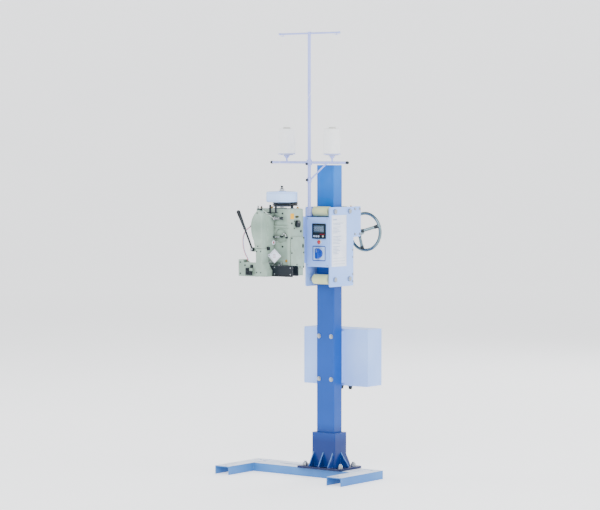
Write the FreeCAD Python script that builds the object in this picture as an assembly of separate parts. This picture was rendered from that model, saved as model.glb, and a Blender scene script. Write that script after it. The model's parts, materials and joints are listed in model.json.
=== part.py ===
import FreeCAD, Part
import math
import os
from FreeCAD import Vector

# Bag closer sewing machine on a pedestal, in millimetres.
# Origin: column axis on the floor. +X to the operator's right, +Y away from the operator, +Z up.

# Base
CHANNEL_H = 48.0
CHANNEL_T = 5.3
FOOT_Y = (-308.0, 85.0)
LEFT_FOOT_X = (-575.0, -475.0)
RIGHT_FOOT_X = (209.0, 309.0)
BAR_HALF = 85.0
BAR_GAP = 10.0
SPACER_X = (-400.0, 0.0, 150.0)
ANCHOR_Y = (-270.0, 45.0)
ANCHOR_R = 7.0
PLATE_X, PLATE_Y, PLATE_T = 150.0, 105.0, 12.0
BOLT_X, BOLT_Y, BOLT_R = 122.0, 62.0, 8.0
PLATE_TOP = CHANNEL_H + PLATE_T
BASE_HEX = 24.0

# Column and boot
COLUMN_X, COLUMN_Y, COLUMN_WALL = 60.0, 40.0, 5.0
COLUMN_TOP = 1745.0
BOOT_X, BOOT_Y, BOOT_WALL = 80.0, 56.0, 6.0
BOOT_TOP = 250.0
GUSSET_X, GUSSET_T, GUSSET_TOE, GUSSET_RISE = (-66.0, 0.0, 66.0), 8.0, 6.0, 80.0
SIDE_GUSSET_REACH = 55.0

# Rear enclosure
BOX_X, BOX_Z = 222.0, (510.0, 830.0)
BOX_Y = (60.0, 176.0)
BOX_WALL = 3.0
BOX_BOLT_X = 42.5
BOX_BOLT_Z = (550.0, 790.0)
BOX_BOLT_R, BOX_BOLT_HEX = 5.0, 17.0
BOX_CORNER = 5.0
RAIL_HALF, RAIL_Z = 14.0, (525.0, 815.0)
GLAND_X, GLAND_Y, GLAND_R = (-60.0, 0.0, 60.0), 118.0, 8.0
CHASSIS_Y = (70.0, 73.0)
DOOR_Y = (176.5, 192.0)
DOOR_HINGE = (-227.0, 176.25)
HINGE_Z = (565.0, 775.0)
KNUCKLE_R, HINGE_PIN_R = 4.0, 2.0
LOCK, LOCK_R = (190.0, 670.0), 8.0
CAM_Y = (157.0, 160.0)

# Lift drive: rack on the column's rear face, pinion on the handwheel's shaft
MODULE = 2.0
PINION_TEETH = 18
PINION_R = MODULE * PINION_TEETH / 2
PRESSURE_ANGLE = math.radians(20)
ADDENDUM, DEDENDUM = 0.95 * MODULE, 1.25 * MODULE
PINION_Y = (43.0, 57.0)
RACK_PITCH_X, RACK_BACK_X = 35.0, 17.0
RACK_Y = (40.3, 58.0)
RACK_Z = (1120.0, 1612.0)
BACKLASH = 0.30
WHEEL_X = RACK_PITCH_X + PINION_R
WHEEL_Z = 1366.0
WHEEL_R = 104.0
WHEEL_GRIP_R = 9.0
WHEEL_RIM_Y = 268.0
SPOKE_ANGLES = (20.0, 140.0, 260.0)
SPOKE_R = 8.5
HUB_Y, HUB_R = (188.0, 236.0), (21.0, 17.0)
SHAFT_R = 8.0
BUSH_R = 13.0
RUNNING_FIT = 0.06
SLIP_FIT = 0.02

# Carriage
SIDE_X = (78.0, 86.0)
SIDE_Y = 110.0
SIDE_Z = (1070.0, 1513.0)
EAR_Y, EAR_Z = 180.0, 1343.0
ROLLER_R, AXLE_R, AXLE_HEX = 27.7, 8.0, 24.0
TIE_Y = (100.0, 108.0)
TIE_Z = ((1080.0, 1150.0), (1215.0, 1285.0), (1435.0, 1505.0))
GEAR_HOUSING_X, GEAR_HOUSING_TOP, GEAR_WALL = 14.0, 1505.0, 8.0
AXLE_Y, AXLE_Z = 68.0, (1110.0, 1488.0)
FRONT_ROLLER_X = 52.0
REAR_ROLLER_X = ((-70.0, 12.0), (42.0, 70.0))
PANEL_Y = -112.0
PANEL_Z = (1181.0, 1457.0)
PANEL_X = 14.0
COUNTER_Z = (1338.0, 1422.0)
LAMP_Z = 1319.0
SWITCH_Z = 1256.0
RESET = (PANEL_X + 30.0, 1352.0)
PANEL_WALL, PANEL_BACK = 2.5, -47.0
BEZEL_HALF, CUTOUT_Y = 46.0, (PANEL_Y, -100.0)
LAMP_R = 7.0
SWITCH_SHAFT_R = 4.0

# Thread stand
MAST_X, MAST_Y, MAST_R = -65.5, -100.0, 9.0
MAST_Z = (1462.0, 2485.0)
UPPER_ARM_Z, UPPER_ARM_HALF, EYELET_X = 2476.0, 210.0, 186.0
EYELET_Z, EYELET_R, EYELET_WIRE = 2464.0, 7.0, 1.6
LOWER_ARM_Z, LOWER_ARM_HALF, SPINDLE_X = 1760.0, 268.0, 158.0
CONE_Z, CONE_R = (1809.0, 1948.0), (51.5, 44.5)
SPINDLE_R, DISC_R = 5.0, 48.0
BRACE_Z, BRACE_END_X = 1664.0, 56.0
THREAD_R, THREAD_BEND = 0.7, 4.0

# Sewing head
BODY_X, BODY_Y, BODY_Z = (-250.0, -18.0), (-350.0, -210.0), (1138.0, 1508.0)
CAVITY_X, CAVITY_Y, CAVITY_Z = (-238.0, -26.0), (-338.0, -222.0), (1165.0, 1490.0)
HEAD_SHELF_Z = (1384.0, 1398.0)
POCKET_X, POCKET_Z, POCKET_DEPTH = (-113.0, -34.0), (1328.0, 1360.0), 7.0
LEDGE_Z = (1405.0, 1414.0)
SIDE_WINDOW_Y, SIDE_WINDOW_Z = (-328.0, -222.0), (1185.0, 1345.0)
SIDE_COVER_Y, SIDE_COVER_Z = (-334.0, -213.0), (1178.0, 1353.0)
ARM_X = (-162.0, -115.0)
ARM_TOP = 1484.0
SLOT_TOP = 1262.0
SLOT_FRONT = -410.0
LEG_FRONT = -470.0
COVER_Y = -440.0
COVER_TOP = (-143.0, 1503.0)
SEAM_Z = 1290.0
LEG_X = (ARM_X[0] + 2.0, ARM_X[1] + 2.0)
LEG_TOE = (-85.0, 1172.0)
LEG_WAIST_Z = 1212.0
LEG_CAVITY_Y = (-460.0, -418.5)
CRADLE_Z = (1272.0, 1296.0)
STITCH_Z = 1190.0
NEEDLE_X = -150.0
PRESSER_X = -128.0
NEEDLE_BAR_R, PRESSER_BAR_R, NEEDLE_R = 5.0, 4.0, 1.1
THROAT_Y = -356.0
FEED_ROW_Z, TOOTH_PITCH, TEETH = (1180.0, 1200.0), 3.3, 9
FEED_X = (-132.0, -102.0)
GUIDE_Z, GUIDE_X = (1142.0, 1198.0), (-110.0, 54.0)
KNIFE_PIVOT, KNIFE_PIN_R = (-240.0, 1168.0), 4.0
CUTTER_Y, CUTTER_X = (-440.0, -404.0), (-298.0, -262.0)
SHAFT_XY, MAIN_SHAFT_R, MAIN_BUSH_R = (-119.0, -280.0), 10.0, 16.0
MOTOR_XY = (-175.0, -115.0)
MOTOR_SHAFT_R, MOTOR_R, FINS = 8.0, 62.0, 20
PULLEY_Z = (1518.0, 1540.0)
DRUM_Z = (1543.0, 1600.0)
PULLEY_R, MOTOR_PULLEY_R, DRUM_R = 52.5, 35.0, 86.5
GROOVE_DEPTH, GROOVE_FLAT, RIM_T = 9.0, 3.0, 2.0
BELT_H, BELT_T = 5.2, 8.0
DRUM_HOLES, DRUM_HOLE_R, DRUM_HOLE_CIRCLE = 6, 13.0, 52.0
TENSION, TENSION_ROD_R = (-368.0, 1456.0), 3.0
THREAD_LOOP = (-98.0, -430.0, 1478.0)
KNOB_YZ = (-278.0, 1424.0)
LEVER_PIVOT, LEVER_PIN_R, LEVER_R = (-197.0, 1284.0), 4.0, 5.5
LEVER_BEND, LEVER_THROAT, LEVER_END = (-218.0, 1330.0), (-250.0, 1398.0), (-294.0, 1488.0)
GRIP_R = (6.5, 11.0)
GUIDE_POST_X, GUIDE_POST_Y = (-119.0, -80.0), -385.0
LEAD_R = 1.4
LEAD_EXIT = (-226.0, -418.0, 1410.0)
LEVER_Y = (-452.0, -438.0)

AXES = {"x": Vector(1, 0, 0), "y": Vector(0, 1, 0), "z": Vector(0, 0, 1)}


# ---------------------------------------------------------------- shape helpers

def at(axis, pair, along):
    """Point with the coordinate `along` on the axis and `pair` on the two others, in X, Y, Z order."""
    a, b = pair
    return {"x": Vector(along, a, b), "y": Vector(a, along, b), "z": Vector(a, b, along)}[axis]


def block(xs, ys, zs):
    return Part.makeBox(xs[1] - xs[0], ys[1] - ys[0], zs[1] - zs[0], Vector(xs[0], ys[0], zs[0]))


def rod(axis, centre, span, radius):
    return Part.makeCylinder(radius, span[1] - span[0], at(axis, centre, span[0]), AXES[axis])


def tube(axis, centre, span, outer, inner):
    return rod(axis, centre, span, outer).cut(rod(axis, centre, span, inner))


def cone(axis, centre, span, radii):
    return Part.makeCone(radii[0], radii[1], span[1] - span[0], at(axis, centre, span[0]), AXES[axis])


def prism(axis, outline, span):
    points = [at(axis, pair, span[0]) for pair in outline]
    face = Part.Face(Part.makePolygon(points + points[:1]))
    return face.extrude(AXES[axis] * (span[1] - span[0]))


def hexagon(axis, centre, span, across):
    radius = across / math.sqrt(3)
    turns = [math.radians(60 * k + 30) for k in range(6)]
    outline = [(centre[0] + radius * math.cos(t), centre[1] + radius * math.sin(t)) for t in turns]
    return prism(axis, outline, span)


def bar(start, end, radius):
    """Round bar between two points."""
    run = Vector(*end) - Vector(*start)
    return Part.makeCylinder(radius, run.Length, Vector(*start), run)


def one(shape):
    return shape.Solids[0] if len(shape.Solids) == 1 else shape


def fuse(first, *others):
    return one(first.fuse(list(others)).removeSplitter())


def cut(first, *tools):
    return one(first.cut(list(tools)))


def group(*shapes):
    return Part.makeCompound(list(shapes))


def round_along(shape, axis, radius, keep=lambda edge: True):
    """Fillet the straight edges that run along an axis and pass the keep test."""
    chosen = []
    for edge in shape.Edges:
        if edge.Curve.TypeId != "Part::GeomLine":
            continue
        run = edge.Vertexes[1].Point - edge.Vertexes[0].Point
        if abs(run.normalize().dot(AXES[axis])) > 0.999 and keep(edge):
            chosen.append(edge)
    return one(shape.makeFillet(radius, chosen))


def route(points, radius, limit=None):
    """Tube along straight runs joined by tangent arcs; a limit keeps its bends small."""
    corners = [Vector(*p) for p in points]
    edges = []
    here = corners[0]
    for before, corner, after in zip(corners, corners[1:], corners[2:]):
        into = corner - before
        out = after - corner
        half = into.getAngle(out) / 2
        reach = 0.45 * min(into.Length, out.Length)
        bend = reach / math.tan(half)
        if limit is not None and bend > limit:
            bend = limit
            reach = bend * math.tan(half)
        print("bend radius", round(bend, 1))
        start = corner - into.normalize() * reach
        end = corner + out.normalize() * reach
        centre_way = (start + end) * 0.5 - corner
        centre_way.normalize()
        middle = corner + centre_way * (bend / math.cos(half) - bend)
        edges.append(Part.LineSegment(here, start).toShape())
        edges.append(Part.Arc(start, middle, end).toShape())
        here = end
    edges.append(Part.LineSegment(here, corners[-1]).toShape())
    path = Part.Wire(edges)
    ring = Part.Wire(Part.makeCircle(radius, corners[0], corners[1] - corners[0]))
    pipe = path.makePipeShell([ring], True, False)
    print("volume over section times length", pipe.Volume / (math.pi * radius ** 2 * path.Length))
    return one(pipe)


def channel(axis, span, across, height):
    """Channel section with its web on top, `across` being its edges on the other level axis."""
    low, high = across
    outline = [(low, 0), (low, height), (high, height), (high, 0), (high - CHANNEL_T, 0),
               (high - CHANNEL_T, height - CHANNEL_T), (low + CHANNEL_T, height - CHANNEL_T),
               (low + CHANNEL_T, 0)]
    return prism(axis, outline, span)


# ---------------------------------------------------------------- base and column

def base_bar():
    span = (LEFT_FOOT_X[1], RIGHT_FOOT_X[0])
    front = channel("x", span, (-BAR_HALF, -BAR_GAP / 2), CHANNEL_H)
    rear = channel("x", span, (BAR_GAP / 2, BAR_HALF), CHANNEL_H)
    spacers = [block((x - 50, x + 50), (-BAR_GAP / 2, BAR_GAP / 2), (0, CHANNEL_H)) for x in SPACER_X]
    return cut(fuse(front, rear, *spacers), *bolt_holes((0, CHANNEL_H)))


def bolt_holes(span):
    return [rod("z", (x, y), span, BOLT_R + 0.5) for x in (-BOLT_X, BOLT_X) for y in (-BOLT_Y, BOLT_Y)]


def base_feet():
    feet = []
    for across in (LEFT_FOOT_X, RIGHT_FOOT_X):
        middle = sum(across) / 2
        holes = [rod("z", (middle, y), (0, CHANNEL_H), ANCHOR_R) for y in ANCHOR_Y]
        feet.append(cut(channel("y", FOOT_Y, across, CHANNEL_H), *holes))
    return group(*feet)


def base_plate():
    plate = block((-PLATE_X, PLATE_X), (-PLATE_Y, PLATE_Y), (CHANNEL_H, PLATE_TOP))
    plate = round_along(plate, "z", 8.0)
    return cut(plate, *bolt_holes((CHANNEL_H, PLATE_TOP)))


def base_bolts():
    pieces = []
    web = CHANNEL_H - CHANNEL_T
    for x in (-BOLT_X, BOLT_X):
        for y in (-BOLT_Y, BOLT_Y):
            head = hexagon("z", (x, y), (web - 10, web), BASE_HEX)
            shank = rod("z", (x, y), (web - 1, PLATE_TOP + 24), BOLT_R)
            washer = tube("z", (x, y), (PLATE_TOP, PLATE_TOP + 3), 15.0, BOLT_R + SLIP_FIT)
            nut = hexagon("z", (x, y), (PLATE_TOP + 3, PLATE_TOP + 16), BASE_HEX)
            pieces += [fuse(head, shank), washer]
            pieces.append(nut.cut(rod("z", (x, y), (PLATE_TOP, PLATE_TOP + 30), BOLT_R + SLIP_FIT)))
    return group(*pieces)


def column_boot():
    outer = block((-BOOT_X, BOOT_X), (-BOOT_Y, BOOT_Y), (PLATE_TOP, BOOT_TOP))
    outer = round_along(outer, "z", 6.0)
    inner = block((BOOT_WALL - BOOT_X, BOOT_X - BOOT_WALL), (BOOT_WALL - BOOT_Y, BOOT_Y - BOOT_WALL),
                  (PLATE_TOP, BOOT_TOP - BOOT_WALL))
    opening = block((-COLUMN_X - 0.3, COLUMN_X + 0.3), (-COLUMN_Y - 0.3, COLUMN_Y + 0.3), (0, BOOT_TOP))
    gussets = []
    for side in (-1, 1):
        gussets += [gusset("x", side * BOOT_Y, side * (PLATE_Y - 2), x) for x in GUSSET_X]
        gussets.append(gusset("y", side * BOOT_X, side * (BOOT_X + SIDE_GUSSET_REACH), 0))
    return fuse(cut(outer, inner, opening), *gussets)


def gusset(axis, wall, toe, middle):
    """Triangular rib from the boot's wall out to its toe on the base plate."""
    outline = [(wall, PLATE_TOP), (toe, PLATE_TOP), (toe, PLATE_TOP + GUSSET_TOE),
               (wall, PLATE_TOP + GUSSET_RISE)]
    return prism(axis, outline, (middle - GUSSET_T / 2, middle + GUSSET_T / 2))


def column_tube():
    outer = block((-COLUMN_X, COLUMN_X), (-COLUMN_Y, COLUMN_Y), (PLATE_TOP, COLUMN_TOP))
    outer = round_along(outer, "z", 7.0)
    inner = block((COLUMN_WALL - COLUMN_X, COLUMN_X - COLUMN_WALL),
                  (COLUMN_WALL - COLUMN_Y, COLUMN_Y - COLUMN_WALL), (PLATE_TOP, COLUMN_TOP - COLUMN_WALL))
    return cut(outer, inner, *box_bolt_holes((-COLUMN_Y, COLUMN_Y)))


def box_bolt_holes(span):
    return [rod("y", (x, z), span, BOX_BOLT_R + 0.5) for x in (-BOX_BOLT_X, BOX_BOLT_X) for z in BOX_BOLT_Z]


# ---------------------------------------------------------------- rack and pinion

def gear_rack():
    """Toothed bar on the column's rear face; a tooth space faces the pinion's axis."""
    pitch = math.pi * MODULE
    slope = math.tan(PRESSURE_ANGLE)
    tip, root = RACK_PITCH_X + ADDENDUM, RACK_PITCH_X - DEDENDUM
    half = pitch / 4 - BACKLASH / 2
    outline = [(RACK_BACK_X, RACK_Z[0]), (root, RACK_Z[0])]
    first = math.ceil((RACK_Z[0] + pitch - WHEEL_Z) / pitch - 0.5)
    last = math.floor((RACK_Z[1] - pitch - WHEEL_Z) / pitch - 0.5)
    for k in range(first, last + 1):
        middle = WHEEL_Z + (k + 0.5) * pitch
        at_root = half + DEDENDUM * slope
        at_tip = half - ADDENDUM * slope
        outline += [(root, middle - at_root), (tip, middle - at_tip),
                    (tip, middle + at_tip), (root, middle + at_root)]
    outline += [(root, RACK_Z[1]), (RACK_BACK_X, RACK_Z[1])]
    return prism("y", outline, RACK_Y)


def involute(base, radius):
    """Polar angle of an involute at a radius, from where it leaves its base circle."""
    if radius <= base:
        return 0.0
    roll = math.sqrt((radius / base) ** 2 - 1)
    return roll - math.atan(roll)


def pinion_outline():
    tip_r, root_r = PINION_R + ADDENDUM, PINION_R - DEDENDUM
    base_r = PINION_R * math.cos(PRESSURE_ANGLE)
    half = math.pi / (2 * PINION_TEETH) - BACKLASH / (2 * PINION_R) + involute(base_r, PINION_R)
    radii = [root_r] + [base_r + (tip_r - base_r) * k / 6 for k in range(7)]
    outline = []
    for tooth in range(PINION_TEETH):
        middle = math.pi + tooth * 2 * math.pi / PINION_TEETH
        flank = [(r, half - involute(base_r, r)) for r in radii]
        turns = [(r, middle - a) for r, a in flank] + [(r, middle + a) for r, a in reversed(flank)]
        outline += [(WHEEL_X + r * math.cos(t), WHEEL_Z + r * math.sin(t)) for r, t in turns]
    return outline


def pinion_shaft():
    gear = prism("y", pinion_outline(), PINION_Y)
    shaft = rod("y", (WHEEL_X, WHEEL_Z), (PINION_Y[0], HUB_Y[1] + 2), SHAFT_R)
    collar = rod("y", (WHEEL_X, WHEEL_Z), (PINION_Y[1], PINION_Y[1] + 40), 12.0)
    return fuse(gear, collar, shaft)


def handwheel():
    centre = (WHEEL_X, WHEEL_Z)
    rim = Part.makeTorus(WHEEL_R, WHEEL_GRIP_R, at("y", centre, WHEEL_RIM_Y), AXES["y"])
    pieces = [cone("y", centre, HUB_Y, HUB_R)]
    for degrees in SPOKE_ANGLES:
        turn = math.radians(degrees)
        inner = (WHEEL_X + 12 * math.cos(turn), 214.0, WHEEL_Z + 12 * math.sin(turn))
        outer = (WHEEL_X + WHEEL_R * math.cos(turn), WHEEL_RIM_Y, WHEEL_Z + WHEEL_R * math.sin(turn))
        pieces.append(bar(inner, outer, SPOKE_R))
    wheel = fuse(rim, *pieces)
    return cut(wheel, rod("y", centre, (HUB_Y[0] - 1, HUB_Y[1] + 1), SHAFT_R))


# ---------------------------------------------------------------- rear enclosure

def box_shell():
    shell = block((-BOX_X, BOX_X), BOX_Y, BOX_Z)
    shell = round_along(shell, "y", BOX_CORNER)
    inside = block((BOX_WALL - BOX_X, BOX_X - BOX_WALL), (BOX_Y[0] + BOX_WALL, BOX_Y[1]),
                   (BOX_Z[0] + BOX_WALL, BOX_Z[1] - BOX_WALL))
    rails = [block((x - RAIL_HALF, x + RAIL_HALF), (COLUMN_Y, BOX_Y[0]), RAIL_Z)
             for x in (-BOX_BOLT_X, BOX_BOLT_X)]
    keeper = block((LOCK[0] + 15, BOX_X - BOX_WALL), (CAM_Y[1] + 6, CAM_Y[1] + 9),
                   (LOCK[1] - 30, LOCK[1] + 30))
    glands = [rod("z", (x, GLAND_Y), (BOX_Z[0], BOX_Z[0] + BOX_WALL), GLAND_R) for x in GLAND_X]
    studs = [rod("y", (x, z), (BOX_Y[0] + 2, CHASSIS_Y[0]), 4.0) for x in (-170, 170) for z in (545, 795)]
    shell = cut(shell, inside, *glands)
    return cut(fuse(shell, keeper, *rails, *studs, *shell_hinges()),
               *box_bolt_holes((COLUMN_Y, BOX_Y[0] + BOX_WALL)))


def shell_hinges():
    pieces = []
    for z in HINGE_Z:
        for low in (z - 23, z + 8):
            leaf = block((DOOR_HINGE[0] - 1, 1 - BOX_X), (160, DOOR_HINGE[1]), (low, low + 15))
            pieces.append(fuse(leaf, rod("z", DOOR_HINGE, (low, low + 15), KNUCKLE_R)))
        pieces.append(rod("z", DOOR_HINGE, (z - 25, z + 25), HINGE_PIN_R))
    return pieces


def door_panel():
    low, high = DOOR_Y
    tray = block((-BOX_X, BOX_X), DOOR_Y, BOX_Z)
    tray = round_along(tray, "y", BOX_CORNER)
    hollow = block((BOX_WALL - BOX_X, BOX_X - BOX_WALL), (low, high - 2.5),
                   (BOX_Z[0] + BOX_WALL, BOX_Z[1] - BOX_WALL))
    knuckles = []
    for z in HINGE_Z:
        knuckle = (z - 7.6, z + 7.6)
        leaf = block((DOOR_HINGE[0], 1 - BOX_X), (DOOR_HINGE[1] + 1, low + 5.5), knuckle)
        knuckles.append(fuse(rod("z", DOOR_HINGE, knuckle, KNUCKLE_R), leaf))
    pins = [rod("z", DOOR_HINGE, (z - 30, z + 30), HINGE_PIN_R + RUNNING_FIT) for z in HINGE_Z]
    lock_hole = rod("y", LOCK, (high - 5, high), LOCK_R + RUNNING_FIT)
    return cut(fuse(cut(tray, hollow), *knuckles), lock_hole, *pins)


def lock_knob():
    y = DOOR_Y[1]
    rim = rod("y", LOCK, (y + 0.3, y + 4), 14.0)
    wing = block((LOCK[0] - 3, LOCK[0] + 3), (y + 4, y + 13), (LOCK[1] - 13, LOCK[1] + 13))
    barrel = rod("y", LOCK, (CAM_Y[0], y + 1), LOCK_R)
    cam = block((LOCK[0] - 7, LOCK[0] + 7), CAM_Y, (LOCK[1] - LOCK_R, LOCK[1] + 26))
    return fuse(barrel, rim, wing, cam)


def control_chassis():
    """Mounting plate with two contactors and a row of terminals."""
    face = CHASSIS_Y[1]
    rail_top = face + 7
    plate = block((-185, 185), CHASSIS_Y, (BOX_Z[0] + 20, BOX_Z[1] - 20))
    contactors = [round_along(block((x - 24, x + 24), (face, face + 70), (690, 780)), "y", 3.0)
                  for x in (-90, -20)]
    relay = round_along(block((50, 110), (face, face + 47), (690, 760)), "y", 3.0)
    rail = block((-150, 150), (face, rail_top), (590, 605))
    terminals = [block((x, x + 9.6), (rail_top, rail_top + 38), (575, 622)) for x in range(-140, 140, 10)]
    return group(plate, relay, rail, *contactors, *terminals)


def box_glands():
    pieces = []
    low = BOX_Z[0]
    for x in GLAND_X:
        nut = hexagon("z", (x, GLAND_Y), (low - 9, low), 24.0)
        cap = cone("z", (x, GLAND_Y), (low - 26, low - 9), (8.5, 11.5))
        thread = rod("z", (x, GLAND_Y), (low - 1, low + 10), GLAND_R - SLIP_FIT)
        bore = rod("z", (x, GLAND_Y), (low - 30, low + 12), GLAND_R / 2)
        pieces.append(cut(fuse(nut, cap, thread), bore))
    return group(*pieces)


def box_bolts():
    pieces = []
    inside = BOX_Y[0] + BOX_WALL
    for x in (-BOX_BOLT_X, BOX_BOLT_X):
        for z in BOX_BOLT_Z:
            head = hexagon("y", (x, z), (-COLUMN_Y - 7, -COLUMN_Y), BOX_BOLT_HEX)
            shank = rod("y", (x, z), (-COLUMN_Y - 1, inside + 6.5), BOX_BOLT_R)
            nut = hexagon("y", (x, z), (inside, inside + 6), BOX_BOLT_HEX)
            bore = rod("y", (x, z), (inside - 1, inside + 9), BOX_BOLT_R + SLIP_FIT)
            pieces += [fuse(head, shank), nut.cut(bore)]
    return group(*pieces)


# ---------------------------------------------------------------- carriage

def axle_holes(span):
    return [rod("x", (y, z), span, AXLE_R) for y in (-AXLE_Y, AXLE_Y) for z in AXLE_Z]


def left_side_plate():
    span = (-SIDE_X[1], -SIDE_X[0])
    plate = block(span, (-SIDE_Y, SIDE_Y), SIDE_Z)
    return cut(round_along(plate, "x", 10.0), *axle_holes(span))


def right_side_plate():
    outline = [(-SIDE_Y, SIDE_Z[0]), (SIDE_Y, SIDE_Z[0]), (SIDE_Y, EAR_Z), (EAR_Y, EAR_Z),
               (EAR_Y, SIDE_Z[1]), (-SIDE_Y, SIDE_Z[1])]
    plate = prism("x", outline, SIDE_X)
    return cut(round_along(plate, "x", 8.0), *axle_holes(SIDE_X))


def carriage_ties():
    """Flat bars behind the column; the top one stops short of the gear housing."""
    ends = (SIDE_X[0], SIDE_X[0], GEAR_HOUSING_X - 0.3)
    return group(*[block((-SIDE_X[0], end), TIE_Y, span) for end, span in zip(ends, TIE_Z)])


def roller_axles():
    """Axle bolts through both side plates, with the spacer tubes that centre the rollers."""
    pieces = []
    for y in (-AXLE_Y, AXLE_Y):
        for z in AXLE_Z:
            head = hexagon("x", (y, z), (SIDE_X[1], SIDE_X[1] + 10), AXLE_HEX)
            shank = rod("x", (y, z), (-SIDE_X[1] - 16, SIDE_X[1] + 1), AXLE_R)
            nut = hexagon("x", (y, z), (-SIDE_X[1] - 13, -SIDE_X[1]), AXLE_HEX)
            bore = rod("x", (y, z), (-SIDE_X[1] - 14, -SIDE_X[0]), AXLE_R + SLIP_FIT)
            pieces += [fuse(head, shank), nut.cut(bore)]
            if y < 0:
                spacers = [(-SIDE_X[0], -FRONT_ROLLER_X - 0.5), (FRONT_ROLLER_X + 0.5, SIDE_X[0])]
            else:
                spacers = [(-SIDE_X[0], REAR_ROLLER_X[0][0] - 0.5), (REAR_ROLLER_X[1][1] + 0.5, SIDE_X[0])]
            pieces += [tube("x", (y, z), span, AXLE_HEX / 2, AXLE_R + SLIP_FIT) for span in spacers]
    return group(*pieces)


def roller(spans, y, z):
    """Nylon roller, or two on one axle, with chamfered ends."""
    pieces = []
    for low, high in spans:
        barrel = tube("x", (y, z), (low, high), ROLLER_R, AXLE_R + RUNNING_FIT)
        ends = [edge for edge in barrel.Edges if edge.Curve.TypeId == "Part::GeomCircle"
                and edge.Curve.Radius > AXLE_R + 1]
        pieces.append(barrel.makeChamfer(2.0, ends))
    return group(*pieces)


def gear_housing():
    outer = block((GEAR_HOUSING_X, SIDE_X[0]), (TIE_Y[0], EAR_Y), (EAR_Z, GEAR_HOUSING_TOP))
    inner = block((GEAR_HOUSING_X + GEAR_WALL, SIDE_X[0] - GEAR_WALL), (TIE_Y[0] + 12, EAR_Y - 12),
                  (EAR_Z + GEAR_WALL, GEAR_HOUSING_TOP - GEAR_WALL))
    outer = round_along(outer, "y", 5.0)
    oil_hole = rod("z", (46.0, 140.0), (GEAR_HOUSING_TOP - 15, GEAR_HOUSING_TOP + 5), 6.0)
    shaft_hole = rod("y", (WHEEL_X, WHEEL_Z), (TIE_Y[0] - 10, EAR_Y + 10), BUSH_R)
    return cut(outer, inner, oil_hole, shaft_hole)


def shaft_bushes():
    lift_spans = ((TIE_Y[0], TIE_Y[0] + 16), (EAR_Y - 16, EAR_Y))
    main_spans = ((HEAD_SHELF_Z[0] - 1, HEAD_SHELF_Z[1] + 1), (CAVITY_Z[1] - 6, BODY_Z[1] + 4))
    lift = [tube("y", (WHEEL_X, WHEEL_Z), span, BUSH_R, SHAFT_R + 0.05) for span in lift_spans]
    main = [tube("z", SHAFT_XY, span, MAIN_BUSH_R, MAIN_SHAFT_R + 0.05) for span in main_spans]
    return group(*lift, *main)


def control_housing():
    """Folded sheet box, open at the back, with the panel's cut-outs."""
    outer = block((-SIDE_X[0] + 0.3, SIDE_X[0] - 0.3), (PANEL_Y, PANEL_BACK), PANEL_Z)
    outer = round_along(outer, "z", 5.0, lambda edge: edge.Vertexes[0].Y < PANEL_Y + 1)
    inner = block((-SIDE_X[0] + 3, SIDE_X[0] - 3), (PANEL_Y + PANEL_WALL, PANEL_BACK),
                  (PANEL_Z[0] + PANEL_WALL, PANEL_Z[1] - PANEL_WALL))
    counter = block((PANEL_X - BEZEL_HALF + 3, PANEL_X + BEZEL_HALF - 3), CUTOUT_Y,
                    (COUNTER_Z[0] + 3, COUNTER_Z[1] - 3))
    lamp = rod("y", (PANEL_X, LAMP_Z), CUTOUT_Y, LAMP_R)
    switch = rod("y", (PANEL_X, SWITCH_Z), CUTOUT_Y, 10.0)
    return cut(outer, inner, counter, lamp, switch)


def counter_case():
    """Electronic counter: bezel with a sunk display window, and its case behind the panel."""
    bezel = block((PANEL_X - BEZEL_HALF, PANEL_X + BEZEL_HALF), (PANEL_Y - 7, PANEL_Y), COUNTER_Z)
    bezel = round_along(bezel, "y", 3.0)
    window = block((PANEL_X - 36, PANEL_X + 36), (PANEL_Y - 7, PANEL_Y - 4.5), (1374, 1412))
    case = block((PANEL_X - BEZEL_HALF + 4, PANEL_X + BEZEL_HALF - 4), (PANEL_Y, PANEL_Y + 50),
                 (COUNTER_Z[0] + 4, COUNTER_Z[1] - 4))
    button_well = rod("y", RESET, (PANEL_Y - 7, PANEL_Y + 4), 5.3)
    return cut(fuse(bezel, case), window, button_well)


def reset_button():
    return fuse(rod("y", RESET, (PANEL_Y - 9.5, PANEL_Y - 1), 4.8),
                rod("y", RESET, (PANEL_Y - 10.3, PANEL_Y - 9.5), 3.9))


def pilot_lamp():
    ring = tube("y", (PANEL_X, LAMP_Z), (PANEL_Y - 3, PANEL_Y), 13.5, 9.0)
    dome = Part.makeSphere(11.0, at("y", (PANEL_X, LAMP_Z), PANEL_Y - 3))
    dome = dome.common(rod("y", (PANEL_X, LAMP_Z), (PANEL_Y - 16, PANEL_Y - 3), 11.0))
    barrel = rod("y", (PANEL_X, LAMP_Z), (PANEL_Y - 3, PANEL_Y + 30), LAMP_R - 0.05)
    return fuse(ring, dome, barrel, rod("y", (PANEL_X, LAMP_Z), (PANEL_Y - 3, PANEL_Y), 9.0))


def switch_plate():
    plate = block((PANEL_X - BEZEL_HALF, PANEL_X + BEZEL_HALF), (PANEL_Y - 3, PANEL_Y),
                  (SWITCH_Z - 43, SWITCH_Z + 43))
    plate = round_along(plate, "y", 6.0)
    body = block((PANEL_X - 28, PANEL_X + 28), (PANEL_Y + PANEL_WALL, -66), (SWITCH_Z - 28, SWITCH_Z + 28))
    neck = rod("y", (PANEL_X, SWITCH_Z), (PANEL_Y - 1, PANEL_Y + 4), 9.95)
    shaft_hole = rod("y", (PANEL_X, SWITCH_Z), (PANEL_Y - 4, -80), SWITCH_SHAFT_R + RUNNING_FIT)
    return cut(fuse(plate, neck, body), shaft_hole)


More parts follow.
